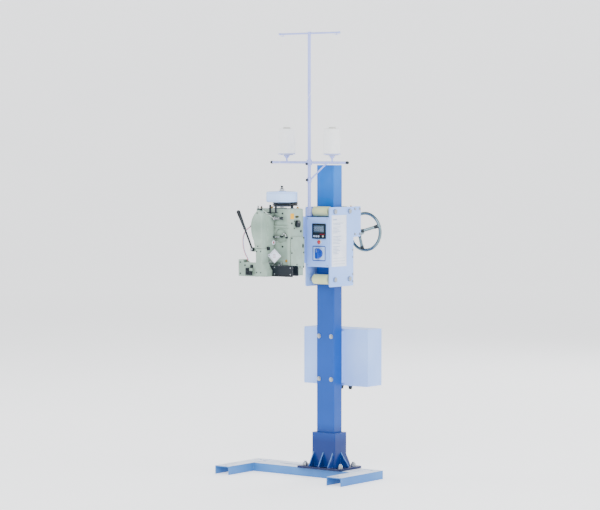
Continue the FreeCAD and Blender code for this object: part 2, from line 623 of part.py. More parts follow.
def switch_knob():
    centre = (PANEL_X, SWITCH_Z)
    disc = cone("y", centre, (PANEL_Y - 13, PANEL_Y - 3.5), (22.0, 25.0))
    grip = block((PANEL_X - 10, PANEL_X + 10), (PANEL_Y - 30, PANEL_Y - 10), (SWITCH_Z - 29, SWITCH_Z + 29))
    grip = round_along(grip, "y", 8.0)
    shaft = rod("y", centre, (PANEL_Y - 6, -84), SWITCH_SHAFT_R)
    return fuse(disc, grip, shaft)


# ---------------------------------------------------------------- thread stand

def thread_mast():
    """Mast with its clamp foot, the upper arm and the two thread eyelets."""
    mast = rod("z", (MAST_X, MAST_Y), MAST_Z, MAST_R)
    foot = block((-SIDE_X[0], MAST_X + 10), (-SIDE_Y, MAST_Y + 11), (MAST_Z[0], SIDE_Z[1] - 4))
    arm = rod("x", (MAST_Y, UPPER_ARM_Z), (MAST_X - UPPER_ARM_HALF, MAST_X + UPPER_ARM_HALF), 5.0)
    rings = []
    for x in (MAST_X - EYELET_X, MAST_X + EYELET_X):
        rings.append(Part.makeTorus(EYELET_R, EYELET_WIRE, Vector(x, MAST_Y, EYELET_Z), AXES["z"]))
        rings.append(bar((x, MAST_Y + EYELET_R, EYELET_Z), (x, MAST_Y + 2, UPPER_ARM_Z), EYELET_WIRE))
    return fuse(mast, foot, arm, *rings)


def lower_arm():
    """Cone carrier: arm, collar on the mast, brace, spindles and support discs."""
    arm = rod("x", (MAST_Y, LOWER_ARM_Z), (MAST_X - LOWER_ARM_HALF, MAST_X + LOWER_ARM_HALF), 7.0)
    collar = rod("z", (MAST_X, MAST_Y), (LOWER_ARM_Z - 16, LOWER_ARM_Z + 16), 15.0)
    low_collar = rod("z", (MAST_X, MAST_Y), (BRACE_Z - 14, BRACE_Z + 12), 13.0)
    brace = bar((MAST_X + 8, MAST_Y, BRACE_Z), (BRACE_END_X, MAST_Y, LOWER_ARM_Z - 3), 4.5)
    pieces = [collar, low_collar, brace]
    for x in (MAST_X - SPINDLE_X, MAST_X + SPINDLE_X):
        pieces.append(rod("z", (x, MAST_Y), (LOWER_ARM_Z, CONE_Z[1] + 6), SPINDLE_R))
        pieces.append(rod("z", (x, MAST_Y), (CONE_Z[0] - 5, CONE_Z[0] - 0.3), DISC_R))
        pieces.append(cone("z", (x, MAST_Y), (CONE_Z[0] - 25, CONE_Z[0] - 5), (8.0, 22.0)))
    mast = rod("z", (MAST_X, MAST_Y), (BRACE_Z - 50, LOWER_ARM_Z + 50), MAST_R)
    return cut(fuse(arm, *pieces), mast)


def thread_cones():
    pieces = []
    for x in (MAST_X - SPINDLE_X, MAST_X + SPINDLE_X):
        body = cone("z", (x, MAST_Y), CONE_Z, CONE_R)
        body = body.makeFillet(6.0, [edge for edge in body.Edges if edge.Curve.TypeId == "Part::GeomCircle"])
        core = cone("z", (x, MAST_Y), (CONE_Z[1] - 2, CONE_Z[1] + 8), (21.0, 19.0))
        bore = rod("z", (x, MAST_Y), (CONE_Z[0] - 1, CONE_Z[1] + 9), SPINDLE_R + 0.3)
        pieces.append(cut(fuse(body, core), bore))
    return group(*pieces)


def threads():
    """Sewing threads, pulled tight from the cones over the eyelets to the head's guide and tension."""
    left, right = MAST_X - EYELET_X, MAST_X + EYELET_X
    first = [(MAST_X - SPINDLE_X, MAST_Y, CONE_Z[1] + 9), (left, MAST_Y, EYELET_Z),
             (-149.0, -446.0, 1519.0), THREAD_LOOP, (-100.5, -381.7, 1456.0)]
    second = [(MAST_X + SPINDLE_X, MAST_Y, CONE_Z[1] + 9), (right, MAST_Y, EYELET_Z),
              (-141.0, -446.0, 1519.0), (-119.0, -392.0, 1515.0)]
    return group(route(first, THREAD_R, THREAD_BEND), route(second, THREAD_R, THREAD_BEND))


# ---------------------------------------------------------------- sewing head

def head_bracket():
    """Welded bracket: arm on the left side plate, flange behind the head, shelf for the motor."""
    wall = (-98, -SIDE_X[1])
    front = BODY_Y[1] + 12
    shelf_z = (1450, 1458)
    arm = block(wall, (front, 60), (1200, 1400))
    flange = block((-240, -SIDE_X[1]), (BODY_Y[1], front), (1170, shelf_z[0]))
    shelf = block((-252, -SIDE_X[1]), (BODY_Y[1], -38), shelf_z)
    rib = prism("x", [(front, 1290), (front, shelf_z[0]), (-190, shelf_z[0])], wall)
    motor_hole = rod("z", MOTOR_XY, (shelf_z[0] - 10, shelf_z[1] + 7), 24.0)
    post = block(wall, (-150, 60), (1400, shelf_z[0]))
    return cut(fuse(arm, flange, shelf, rib, post), motor_hole)


def head_body():
    """Rear casting: hollow box with an arched pocket in its front and a window on its right side."""
    outer = block(BODY_X, BODY_Y, BODY_Z)
    outer = round_along(outer, "z", 14.0)
    tops = [edge for edge in outer.Edges if min(v.Z for v in edge.Vertexes) > BODY_Z[1] - 0.5]
    outer = outer.makeFillet(9.0, tops)
    cavity = block(CAVITY_X, CAVITY_Y, CAVITY_Z)
    shelf = block(CAVITY_X, CAVITY_Y, HEAD_SHELF_Z)
    shelf = shelf.cut(block((-225, -150), (-325, -235), (HEAD_SHELF_Z[0] - 4, HEAD_SHELF_Z[1] + 2)))
    window = block((CAVITY_X[1] - 14, BODY_X[1] + 1), SIDE_WINDOW_Y, SIDE_WINDOW_Z)
    sunk = (BODY_Y[0] - 1, BODY_Y[0] + POCKET_DEPTH)
    pocket = block(POCKET_X, sunk, POCKET_Z)
    arch = rod("y", (sum(POCKET_X) / 2, POCKET_Z[1]), sunk, (POCKET_X[1] - POCKET_X[0]) / 2)
    needle_window = block((-168, -92), (BODY_Y[0] - 1, CAVITY_Y[0] + 1), (1172, 1208))
    body = cut(outer, cavity.cut(shelf), window, pocket, arch, needle_window)
    ledge = block((ARM_X[1] + 0.3, BODY_X[1] - 2), (BODY_Y[0] - 5, BODY_Y[0] + 2), LEDGE_Z)
    boss = rod("z", SHAFT_XY, (BODY_Z[1] - 2, BODY_Z[1] + 4), 27.0)
    bore = rod("z", SHAFT_XY, (HEAD_SHELF_Z[0] - 14, BODY_Z[1] + 12), MAIN_BUSH_R)
    return cut(fuse(body, boss, ledge), bore)


def front_arm():
    """Bridge over the bag slot with the front leg that holds the needle bar."""
    bridge = block(ARM_X, (SLOT_FRONT - 1, BODY_Y[0]), (SLOT_TOP, ARM_TOP))
    upper = block((ARM_X[0] + 3, ARM_X[1] - 1), (COVER_Y, SLOT_FRONT), (SEAM_Z - 5, ARM_TOP))
    outline = [(LEG_X[0], SEAM_Z), (LEG_X[0], BODY_Z[0]), (LEG_TOE[0], BODY_Z[0]), LEG_TOE,
               (LEG_X[1], LEG_WAIST_Z), (LEG_X[1], SEAM_Z)]
    lower = prism("y", outline, (LEG_FRONT + 4, SLOT_FRONT))
    lower = round_along(lower, "z", 8.0, lambda edge: edge.Vertexes[0].Y < LEG_FRONT + 6)
    cavity = block((LEG_X[0] + 3.5, LEG_X[1] - 7), LEG_CAVITY_Y, (1150, SEAM_Z))
    bores = [rod("y", (NEEDLE_X, STITCH_Z), (-430, -400), NEEDLE_BAR_R + 0.05),
             rod("y", (PRESSER_X, STITCH_Z), (-430, -400), PRESSER_BAR_R + 0.05)]
    pivot = block((LEVER_PIVOT[0] - 9, ARM_X[0] + 3), (-437, -424), CRADLE_Z)
    pin = rod("y", LEVER_PIVOT, (LEVER_Y[0] - 6, -425), LEVER_PIN_R)
    stub = bar((ARM_X[0] + 3, -418, 1435), LEAD_EXIT, 6.0)
    body = cut(fuse(bridge, upper, lower), cavity, *bores)
    return fuse(body, pivot, pin, stub)


def cover_outline(grow):
    """Outline of the bulged face cover as a wire in the XZ plane, `grow` mm outside its nominal line."""
    def spot(x, z):
        return Vector(x, COVER_Y, z)

    low, top, right = SEAM_Z + 1 - grow, COVER_TOP[1] + grow, ARM_X[1] + grow
    heel, knee = spot(ARM_X[0] - 1 - grow, low), spot(-171 - grow, 1331)
    belly, brow = spot(-189 - grow, 1384), spot(-190 - grow, 1430)
    temple, crown = spot(-170 - 0.7 * grow, 1477 + 0.7 * grow), spot(COVER_TOP[0], top)
    shoulder, elbow = spot(-123 + 0.7 * grow, 1492 + 0.7 * grow), spot(right, 1466)
    edges = [Part.LineSegment(heel, knee), Part.Arc(knee, belly, brow), Part.Arc(brow, temple, crown),
             Part.Arc(crown, shoulder, elbow), Part.LineSegment(elbow, spot(right, low)),
             Part.LineSegment(spot(right, low), heel)]
    return Part.Wire([edge.toShape() for edge in edges])


def face_cover():
    outer = Part.Face(cover_outline(0)).extrude(Vector(0, LEG_FRONT - COVER_Y, 0))
    front = [edge for edge in outer.Edges if max(v.Y for v in edge.Vertexes) < LEG_FRONT + 0.5]
    outer = outer.makeFillet(8.0, front)
    inner = Part.Face(cover_outline(-5)).extrude(Vector(0, LEG_FRONT + 5 - COVER_Y, 0))
    return cut(outer, inner)


def side_cover():
    x = BODY_X[1]
    plate = block((x, x + 4), SIDE_COVER_Y, SIDE_COVER_Z)
    plate = round_along(plate, "x", 7.0)
    holes = [rod("x", (y, z), (x, x + 4), 2.6) for y in (-327, -220) for z in (1185, 1265, 1346)]
    return cut(plate, *holes)


def cutter_block():
    """Thread cutter: stepped block on the leg's left side with its fixed knife and connector."""
    front, back = CUTTER_Y
    low = block((CUTTER_X[1], ARM_X[0] + 2), CUTTER_Y, (1135, 1212))
    tall = block(CUTTER_X, CUTTER_Y, (1135, 1228))
    base = round_along(fuse(low, tall), "y", 4.0)
    bars = block((-236, -192), (front - 12, front), (1146, 1180))
    pin = rod("y", KNIFE_PIVOT, (back - 1, back + 5), KNIFE_PIN_R)
    connector = rod("z", (-249, -415), (1211, 1219), 7.0)
    return fuse(base, round_along(bars, "y", 3.0), pin, connector)


def moving_knife():
    outline = [(-247, 1161), (-233, 1161), (-230, 1180), (-222, 1205), (-236, 1209), (-246, 1190)]
    blade = prism("y", outline, (CUTTER_Y[1] + 0.5, CUTTER_Y[1] + 3.5))
    return cut(blade, rod("y", KNIFE_PIVOT, (CUTTER_Y[1], CUTTER_Y[1] + 4), KNIFE_PIN_R + RUNNING_FIT))


def guide_plates():
    """Infeed guides that lead the bag's mouth into the slot."""
    front = block(GUIDE_X, (SLOT_FRONT + 0.3, SLOT_FRONT + 5.3), GUIDE_Z)
    front = round_along(front, "y", 6.0)
    lip = block(GUIDE_X, (SLOT_FRONT - 4, SLOT_FRONT + 5.3), (GUIDE_Z[0] - 3.5, GUIDE_Z[0] + 1))
    lip = lip.cut(block((-120, LEG_TOE[0] + 0.3), (SLOT_FRONT - 5, SLOT_FRONT + 0.2), (1130, 1150)))
    rear = block((-58, 50), (THROAT_Y, BODY_Y[0]), GUIDE_Z)
    rear = round_along(rear, "y", 6.0)
    return group(fuse(front, lip), rear)


def throat_plate():
    plate = block((-178, -60), (THROAT_Y, BODY_Y[0]), (1164, 1216))
    plate = round_along(plate, "y", 4.0)
    needle_hole = rod("y", (NEEDLE_X, STITCH_Z), (THROAT_Y, BODY_Y[0]), 3.0)
    slots = [block((FEED_X[0] - 6, FEED_X[1] + 6), (THROAT_Y, BODY_Y[0]), (z - 4, z + 4)) for z in FEED_ROW_Z]
    return cut(plate, needle_hole, *slots)


def feed_dog():
    carrier = block(FEED_X, (-349.5, -342), (FEED_ROW_Z[0] - 4, FEED_ROW_Z[1] + 4))
    teeth = []
    for z in FEED_ROW_Z:
        for k in range(TEETH):
            x = FEED_X[0] + TOOTH_PITCH * k
            outline = [(x, -350), (x + TOOTH_PITCH, -350), (x + 2.6, -357), (x + 0.7, -357)]
            teeth.append(prism("z", outline, (z - 3, z + 3)))
    bars = [block(FEED_X, (-354, -349), (z - 3, z + 3)) for z in FEED_ROW_Z]
    arm = block((-122, -112), (-342.5, -300), (1184, 1196))
    return fuse(carrier, arm, *bars, *teeth)


def looper():
    shaft = rod("z", (-178, -312), (1165.3, 1200), 6.0)
    arm = block((-178, -150), (-316, -308), (1193, 1199))
    hook = prism("z", [(-154, -317), (-146, -317), (-142, -328), (-147, -328)], (1193, 1196))
    return fuse(shaft, arm, hook)


def needle_bar():
    centre = (NEEDLE_X, STITCH_Z)
    shaft = rod("y", centre, (-458, -408), NEEDLE_BAR_R)
    needle = rod("y", centre, (-409, -374), NEEDLE_R)
    point = cone("y", centre, (-374, -366), (NEEDLE_R, 0.2))
    clamp = rod("y", centre, (-457, -450), NEEDLE_BAR_R + 1)
    return fuse(shaft, needle, point, clamp)


def presser_foot():
    """Foot along the feed direction with upturned ends, and its bar into the leg."""
    outline = [(-168, -371), (-164, -372), (-152, -362), (-82, -362), (-74, -370), (-71, -368),
               (-80, -357.5), (-154, -357.5)]
    foot = prism("z", outline, (1178, 1202))
    slot = block((-153.5, -144), (-365, -355), (1184, 1196))
    stem = rod("y", (PRESSER_X, STITCH_Z), (-448, -361), PRESSER_BAR_R)
    return fuse(cut(foot, slot), stem)


def lifter_lever():
    """Bent hand lever with its grip, on a pivot beside the leg."""
    middle = sum(LEVER_Y) / 2
    hub = rod("y", LEVER_PIVOT, LEVER_Y, 10.0)
    start = at("y", (LEVER_PIVOT[0] - 4, LEVER_PIVOT[1] + 8), middle)
    bend, throat, end = [at("y", pair, middle) for pair in (LEVER_BEND, LEVER_THROAT, LEVER_END)]
    shank = fuse(bar(start, bend, LEVER_R), Part.makeSphere(LEVER_R, bend), bar(bend, throat, LEVER_R))
    way = end - throat
    grip = Part.makeCone(GRIP_R[0], GRIP_R[1], way.Length, throat, way)
    cap = Part.makeSphere(GRIP_R[1], end)
    bore = rod("y", LEVER_PIVOT, (LEVER_Y[0] - 18, LEVER_Y[1] + 8), LEVER_PIN_R + RUNNING_FIT)
    return cut(fuse(hub, shank, grip, cap), bore)


def main_shaft():
    """Upright main shaft with the eccentric that drives the looper and feed."""
    shaft = rod("z", SHAFT_XY, (1205, DRUM_Z[1] + 12), MAIN_SHAFT_R)
    eccentric = rod("z", (SHAFT_XY[0] + 6, SHAFT_XY[1]), (1230, 1250), 24.0)
    web = rod("z", SHAFT_XY, (1300, 1318), 22.0)
    cap = rod("z", SHAFT_XY, (DRUM_Z[1] + 4, DRUM_Z[1] + 16), 13.0)
    return fuse(shaft, eccentric, web, cap)


def v_pulley(centre, span, radius, bore):
    """Pulley with one V groove, cut from its rim."""
    floor = radius - GROOVE_DEPTH
    low, high = sum(span) / 2 - GROOVE_FLAT, sum(span) / 2 + GROOVE_FLAT
    upper = cone("z", centre, (high, span[1] - RIM_T), (floor, radius))
    lower = cone("z", centre, (span[0] + RIM_T, low), (radius, floor))
    waist = rod("z", centre, (low, high), floor)
    rims = [rod("z", centre, rim, radius) for rim in ((span[0], span[0] + RIM_T), (span[1] - RIM_T, span[1]))]
    return cut(fuse(waist, upper, lower, *rims), rod("z", centre, span, bore))


def drum_pulley():
    pulley = v_pulley(SHAFT_XY, PULLEY_Z, PULLEY_R, MAIN_SHAFT_R)
    drum = rod("z", SHAFT_XY, DRUM_Z, DRUM_R)
    rims = [edge for edge in drum.Edges if edge.Curve.TypeId == "Part::GeomCircle"]
    drum = drum.makeFillet(5.0, rims)
    recess = rod("z", SHAFT_XY, (DRUM_Z[0] + 12, DRUM_Z[1] + 1), DRUM_R - 8)
    floor_holes = []
    for k in range(DRUM_HOLES):
        turn = 2 * math.pi * k / DRUM_HOLES
        centre = (SHAFT_XY[0] + DRUM_HOLE_CIRCLE * math.cos(turn),
                  SHAFT_XY[1] + DRUM_HOLE_CIRCLE * math.sin(turn))
        floor_holes.append(rod("z", centre, (DRUM_Z[0] - 1, DRUM_Z[0] + 13), DRUM_HOLE_R))
    hub = rod("z", SHAFT_XY, (PULLEY_Z[1] - 1, DRUM_Z[1] + 3), 24.0)
    bore = rod("z", SHAFT_XY, (PULLEY_Z[0] - 8, DRUM_Z[1] + 10), MAIN_SHAFT_R)
    return cut(fuse(cut(drum, recess, *floor_holes), hub, pulley), bore)


def motor_pulley():
    shaft = rod("z", MOTOR_XY, (1400, PULLEY_Z[1] + 4), MOTOR_SHAFT_R)
    return fuse(v_pulley(MOTOR_XY, PULLEY_Z, MOTOR_PULLEY_R, MOTOR_SHAFT_R), shaft)


def belt_face(grow, z):
    """Racetrack face round both pulleys, `grow` mm outside the grooves' floors."""
    big, small = Vector(*SHAFT_XY, z), Vector(*MOTOR_XY, z)
    radii = (PULLEY_R - GROOVE_DEPTH + grow, MOTOR_PULLEY_R - GROOVE_DEPTH + grow)
    way = small - big
    lean = math.acos((radii[0] - radii[1]) / way.Length)
    heading = math.atan2(way.y, way.x)

    def on(centre, radius, turn):
        return centre + Vector(radius * math.cos(turn), radius * math.sin(turn), 0)

    a, b = on(big, radii[0], heading + lean), on(big, radii[0], heading - lean)
    c, d = on(small, radii[1], heading - lean), on(small, radii[1], heading + lean)
    edges = [Part.Arc(a, on(big, radii[0], heading + math.pi), b), Part.LineSegment(b, c),
             Part.Arc(c, on(small, radii[1], heading), d), Part.LineSegment(d, a)]
    return Part.Face(Part.Wire([edge.toShape() for edge in edges]))


def drive_belt():
    low = sum(PULLEY_Z) / 2 - BELT_H / 2
    outer = belt_face(BELT_T, low).extrude(Vector(0, 0, BELT_H))
    inner = belt_face(0.4, low).extrude(Vector(0, 0, BELT_H))
    return cut(outer, inner)


def motor():
    """Flange motor under its shelf: finned shell, end bells and terminal box."""
    x, y = MOTOR_XY
    shell = rod("z", MOTOR_XY, (1232, 1438), MOTOR_R)
    fins = []
    for k in range(FINS):
        fin = block((x + MOTOR_R - 4, x + MOTOR_R + 6), (y - 1.5, y + 1.5), (1250, 1420))
        fin.rotate(Vector(x, y, 0), AXES["z"], 360 / FINS * k)
        fins.append(fin)
    bells = [cone("z", MOTOR_XY, (1215, 1232), (MOTOR_R - 10, MOTOR_R + 2)),
             rod("z", MOTOR_XY, (1436, 1449.7), MOTOR_R + 2)]
    box = block((x - 84, x - 50), (y - 30, y + 30), (1310, 1380))
    spigot = rod("z", MOTOR_XY, (1449, 1458), 23.5)
    bore = rod("z", MOTOR_XY, (1398, 1460), MOTOR_SHAFT_R + 0.08)
    return cut(fuse(shell, box, spigot, *bells, *fins), bore)


def tension_discs():
    y, z = TENSION
    spindle = rod("x", (y, z), (ARM_X[1], -42), TENSION_ROD_R)
    discs = [cone("x", (y, z), (-100.5, -98.0), (13.0, 10.5)),
             cone("x", (y, z), (-103.0, -100.5), (10.5, 13.0))]
    seat = rod("x", (y, z), (ARM_X[1], -108), 8.0)
    return fuse(spindle, seat, *discs)


def tension_knob():
    y, z = TENSION
    knob = fuse(cone("x", (y, z), (-64, -58), (5.0, 8.0)), rod("x", (y, z), (-58, -46), 8.0))
    return cut(knob, rod("x", (y, z), (-70, -40), TENSION_ROD_R + RUNNING_FIT))


def stitch_knob():
    y, z = KNOB_YZ
    x = BODY_X[1]
    oval = block((x + 3, x + 16), (y - 16, y + 16), (z - 20, z + 20))
    oval = round_along(oval, "x", 15.5)
    return fuse(oval, rod("x", (y, z), (x + 0.3, x + 4), 11.0))


def thread_guides():
    """Triangular guide on the face cover and the two guide posts beside the bridge."""
    plate = prism("y", [(-160, 1501), (-126, 1501), (-129, 1526), (-157, 1526)], (-447.5, -444.5))
    notch = block((-153, -133.5), (-450, -440), (1509, 1530))
    foot = block((-160, -131), (-447.5, -438), (1500, 1503.2))
    guide = cut(fuse(plate, foot), notch)
    guide = one(guide.cut(Part.Face(cover_outline(0.05)).extrude(Vector(0, -9, 0))))
    strip = block((-126, -70), (-396, -374), (ARM_TOP, ARM_TOP + 4))
    x, y, z = THREAD_LOOP
    posts = [Part.makeTorus(5.0, 1.2, Vector(x, y, z), AXES["z"]),
             bar((x, y + 5, z), (x, -392, ARM_TOP + 2), 1.4)]
    for x in GUIDE_POST_X:
        posts.append(rod("z", (x, GUIDE_POST_Y), (ARM_TOP, ARM_TOP + 46), 6.0))
        posts.append(rod("z", (x, GUIDE_POST_Y), (ARM_TOP + 24, ARM_TOP + 28), 8.0))
    return group(guide, fuse(strip, *posts))


def cutter_wire(shift):
    """Thin lead that hangs in a loop from the arm's stub to the cutter's connector."""
    points = [(-226.5, -418 + shift, 1410), (-247, -418 + shift, 1400), (-267, -419 + shift, 1382),
              (-280, -420 + shift, 1352), (-283, -419 + shift, 1318), (-278, -418 + shift, 1284),
              (-266, -417 + shift, 1252), (-252, -415 + shift, 1234), (-249, -415 + shift, 1219.3)]
    return route(points, LEAD_R)


PARTS = {
    "base_bar": base_bar, "base_feet": base_feet, "base_plate": base_plate, "base_bolts": base_bolts,
    "column_boot": column_boot, "column_tube": column_tube, "gear_rack": gear_rack,
    "box_shell": box_shell, "door_panel": door_panel, "lock_knob": lock_knob,
    "control_chassis": control_chassis, "box_glands": box_glands, "box_bolts": box_bolts,
    "left_side_plate": left_side_plate, "right_side_plate": right_side_plate,
    "carriage_ties": carriage_ties, "roller_axles": roller_axles, "gear_housing": gear_housing,
    "shaft_bushes": shaft_bushes, "pinion_shaft": pinion_shaft, "handwheel": handwheel,
    "control_housing": control_housing, "counter_case": counter_case, "reset_button": reset_button,
    "pilot_lamp": pilot_lamp, "switch_plate": switch_plate, "switch_knob": switch_knob,
    "thread_mast": thread_mast, "lower_arm": lower_arm, "thread_cones": thread_cones,
    "threads": threads, "head_bracket": head_bracket, "head_body": head_body, "front_arm": front_arm,
    "face_cover": face_cover, "side_cover": side_cover, "cutter_block": cutter_block,
    "moving_knife": moving_knife, "guide_plates": guide_plates, "throat_plate": throat_plate,
    "feed_dog": feed_dog, "looper": looper, "needle_bar": needle_bar, "presser_foot": presser_foot,
    "lifter_lever": lifter_lever, "main_shaft": main_shaft, "drum_pulley": drum_pulley,
    "motor_pulley": motor_pulley, "drive_belt": drive_belt, "motor": motor,
    "tension_discs": tension_discs, "tension_knob": tension_knob, "stitch_knob": stitch_knob,
    "thread_guides": thread_guides,
}


def build():
    os.makedirs("parts", exist_ok=True)
    shapes = {name: make() for name, make in PARTS.items()}
    for place, z in zip(("lower", "upper"), AXLE_Z):
        front = ((-FRONT_ROLLER_X, FRONT_ROLLER_X),)
        shapes[place + "_front_roller"] = roller(front, -AXLE_Y, z)
        shapes[place + "_rear_rollers"] = roller(REAR_ROLLER_X, AXLE_Y, z)
    shapes["cutter_wire_red"] = cutter_wire(-3.0)
    shapes["cutter_wire_blue"] = cutter_wire(3.0)
    for name, shape in shapes.items():
        if not shape.isValid():
            print("not valid:", name)
        shape.exportStep("parts/" + name + ".step")
    print(len(shapes), "nodes")


build()
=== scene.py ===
"""Looks of the pedestal bag closer sewing machine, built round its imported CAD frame."""
import json
import math

import bmesh
import bpy
from mathutils import Matrix, Vector


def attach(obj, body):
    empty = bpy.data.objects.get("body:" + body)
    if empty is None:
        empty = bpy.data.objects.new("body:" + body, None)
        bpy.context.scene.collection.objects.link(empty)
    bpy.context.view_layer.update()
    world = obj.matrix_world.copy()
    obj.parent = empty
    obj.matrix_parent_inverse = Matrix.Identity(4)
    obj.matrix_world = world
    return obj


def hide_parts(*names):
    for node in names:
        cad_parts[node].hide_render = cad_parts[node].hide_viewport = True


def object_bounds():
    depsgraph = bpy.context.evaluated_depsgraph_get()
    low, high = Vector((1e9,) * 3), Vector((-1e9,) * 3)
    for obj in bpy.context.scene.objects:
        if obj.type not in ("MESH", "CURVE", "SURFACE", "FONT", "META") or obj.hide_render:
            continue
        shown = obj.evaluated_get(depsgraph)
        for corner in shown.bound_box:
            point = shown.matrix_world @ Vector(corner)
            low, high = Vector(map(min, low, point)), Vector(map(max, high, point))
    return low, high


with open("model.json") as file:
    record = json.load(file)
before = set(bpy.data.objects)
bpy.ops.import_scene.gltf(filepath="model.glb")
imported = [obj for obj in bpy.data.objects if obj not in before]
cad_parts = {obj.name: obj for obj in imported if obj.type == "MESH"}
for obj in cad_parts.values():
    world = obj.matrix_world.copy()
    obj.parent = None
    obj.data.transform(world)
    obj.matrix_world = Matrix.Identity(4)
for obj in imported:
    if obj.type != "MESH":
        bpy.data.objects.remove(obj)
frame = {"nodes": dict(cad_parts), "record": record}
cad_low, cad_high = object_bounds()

MM = 0.001  # places below are in millimetres, in the CAD model's own frame

CAMERA_PLACE = Vector((8.207, -11.058, 1.9))
CAMERA_LENS = 148.0
SENSOR = 36.0

X, Y, Z = Vector((1, 0, 0)), Vector((0, 1, 0)), Vector((0, 0, 1))

# Places that several pieces share, all of them on CAD features
PANEL = Vector((14.0, -112.0, 0.0))
COUNTER_FACE = PANEL.y - 7.0
LAMP_Z, SWITCH_Z = 1319.0, 1256.0
SHAFT = Vector((-119.0, -280.0, 0.0))
MOTOR = Vector((-175.0, -115.0, 0.0))
WHEEL = Vector((53.0, 0.0, 1366.0))
SPOKES, SPOKE_START = 3, 20
SPOKE_Y, SPOKE_REACH = (214.0, 268.0), (12.0, 104.0)
MAST = Vector((-65.5, -100.0, 0.0))
SPINDLE_X = 158.0
CONE_Z, CONE_R = (1809.0, 1948.0), (51.5, 44.5)
TENSION = Vector((0.0, -368.0, 1456.0))
LEVER_NECK, LEVER_END = Vector((-250.0, -445.0, 1398.0)), Vector((-294.0, -445.0, 1488.0))
GRIP_R = (6.5, 11.0)
LEAD_R = 1.4


# ---------------- camera and cords

def make_camera():
    """Long lens at the chosen viewpoint, aimed at the middle of the CAD."""
    data = bpy.data.cameras.new("camera")
    data.lens = CAMERA_LENS
    data.sensor_width = SENSOR
    camera = bpy.data.objects.new("camera", data)
    bpy.context.scene.collection.objects.link(camera)
    camera.location = CAMERA_PLACE
    aim = (cad_low + cad_high) / 2 - CAMERA_PLACE
    camera.rotation_euler = aim.to_track_quat("-Z", "Y").to_euler()
    bpy.context.scene.camera = camera


def cutter_lead(colour, shift):
    """Thin lead that hangs in a loop from the arm's stub to the thread cutter."""
    route = [(-226.5, -418 + shift, 1410), (-247, -418 + shift, 1400), (-267, -419 + shift, 1382),
             (-280, -420 + shift, 1352), (-283, -419 + shift, 1318), (-278, -418 + shift, 1284),
             (-266, -417 + shift, 1252), (-252, -415 + shift, 1234), (-249, -415 + shift, 1219.3)]
    curve = bpy.data.curves.new("cutter_lead_" + colour, "CURVE")
    curve.dimensions = "3D"
    curve.bevel_depth = 1.0
    curve.bevel_resolution = 4
    curve.resolution_u = 12
    curve.use_fill_caps = True
    spline = curve.splines.new("NURBS")
    spline.points.add(len(route) - 1)
    for point, place in zip(spline.points, route):
        point.co = (place[0] * MM, place[1] * MM, place[2] * MM, 1)
        point.radius = LEAD_R * MM
    spline.order_u = 3
    spline.use_endpoint_u = True
    lead = bpy.data.objects.new("cutter_lead_" + colour, curve)
    bpy.context.scene.collection.objects.link(lead)
    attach(lead, "carriage")
    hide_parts("cutter_wire_" + colour)
    return lead


make_camera()
leads = {"red": cutter_lead("red", -3.0), "blue": cutter_lead("blue", 3.0)}


# ---------------- materials

def tint(code):
    """Linear colour of a web colour code."""
    parts = [int(code[k:k + 2], 16) / 255 for k in (0, 2, 4)]
    return [p / 12.92 if p <= 0.04045 else ((p + 0.055) / 1.055) ** 2.4 for p in parts] + [1.0]


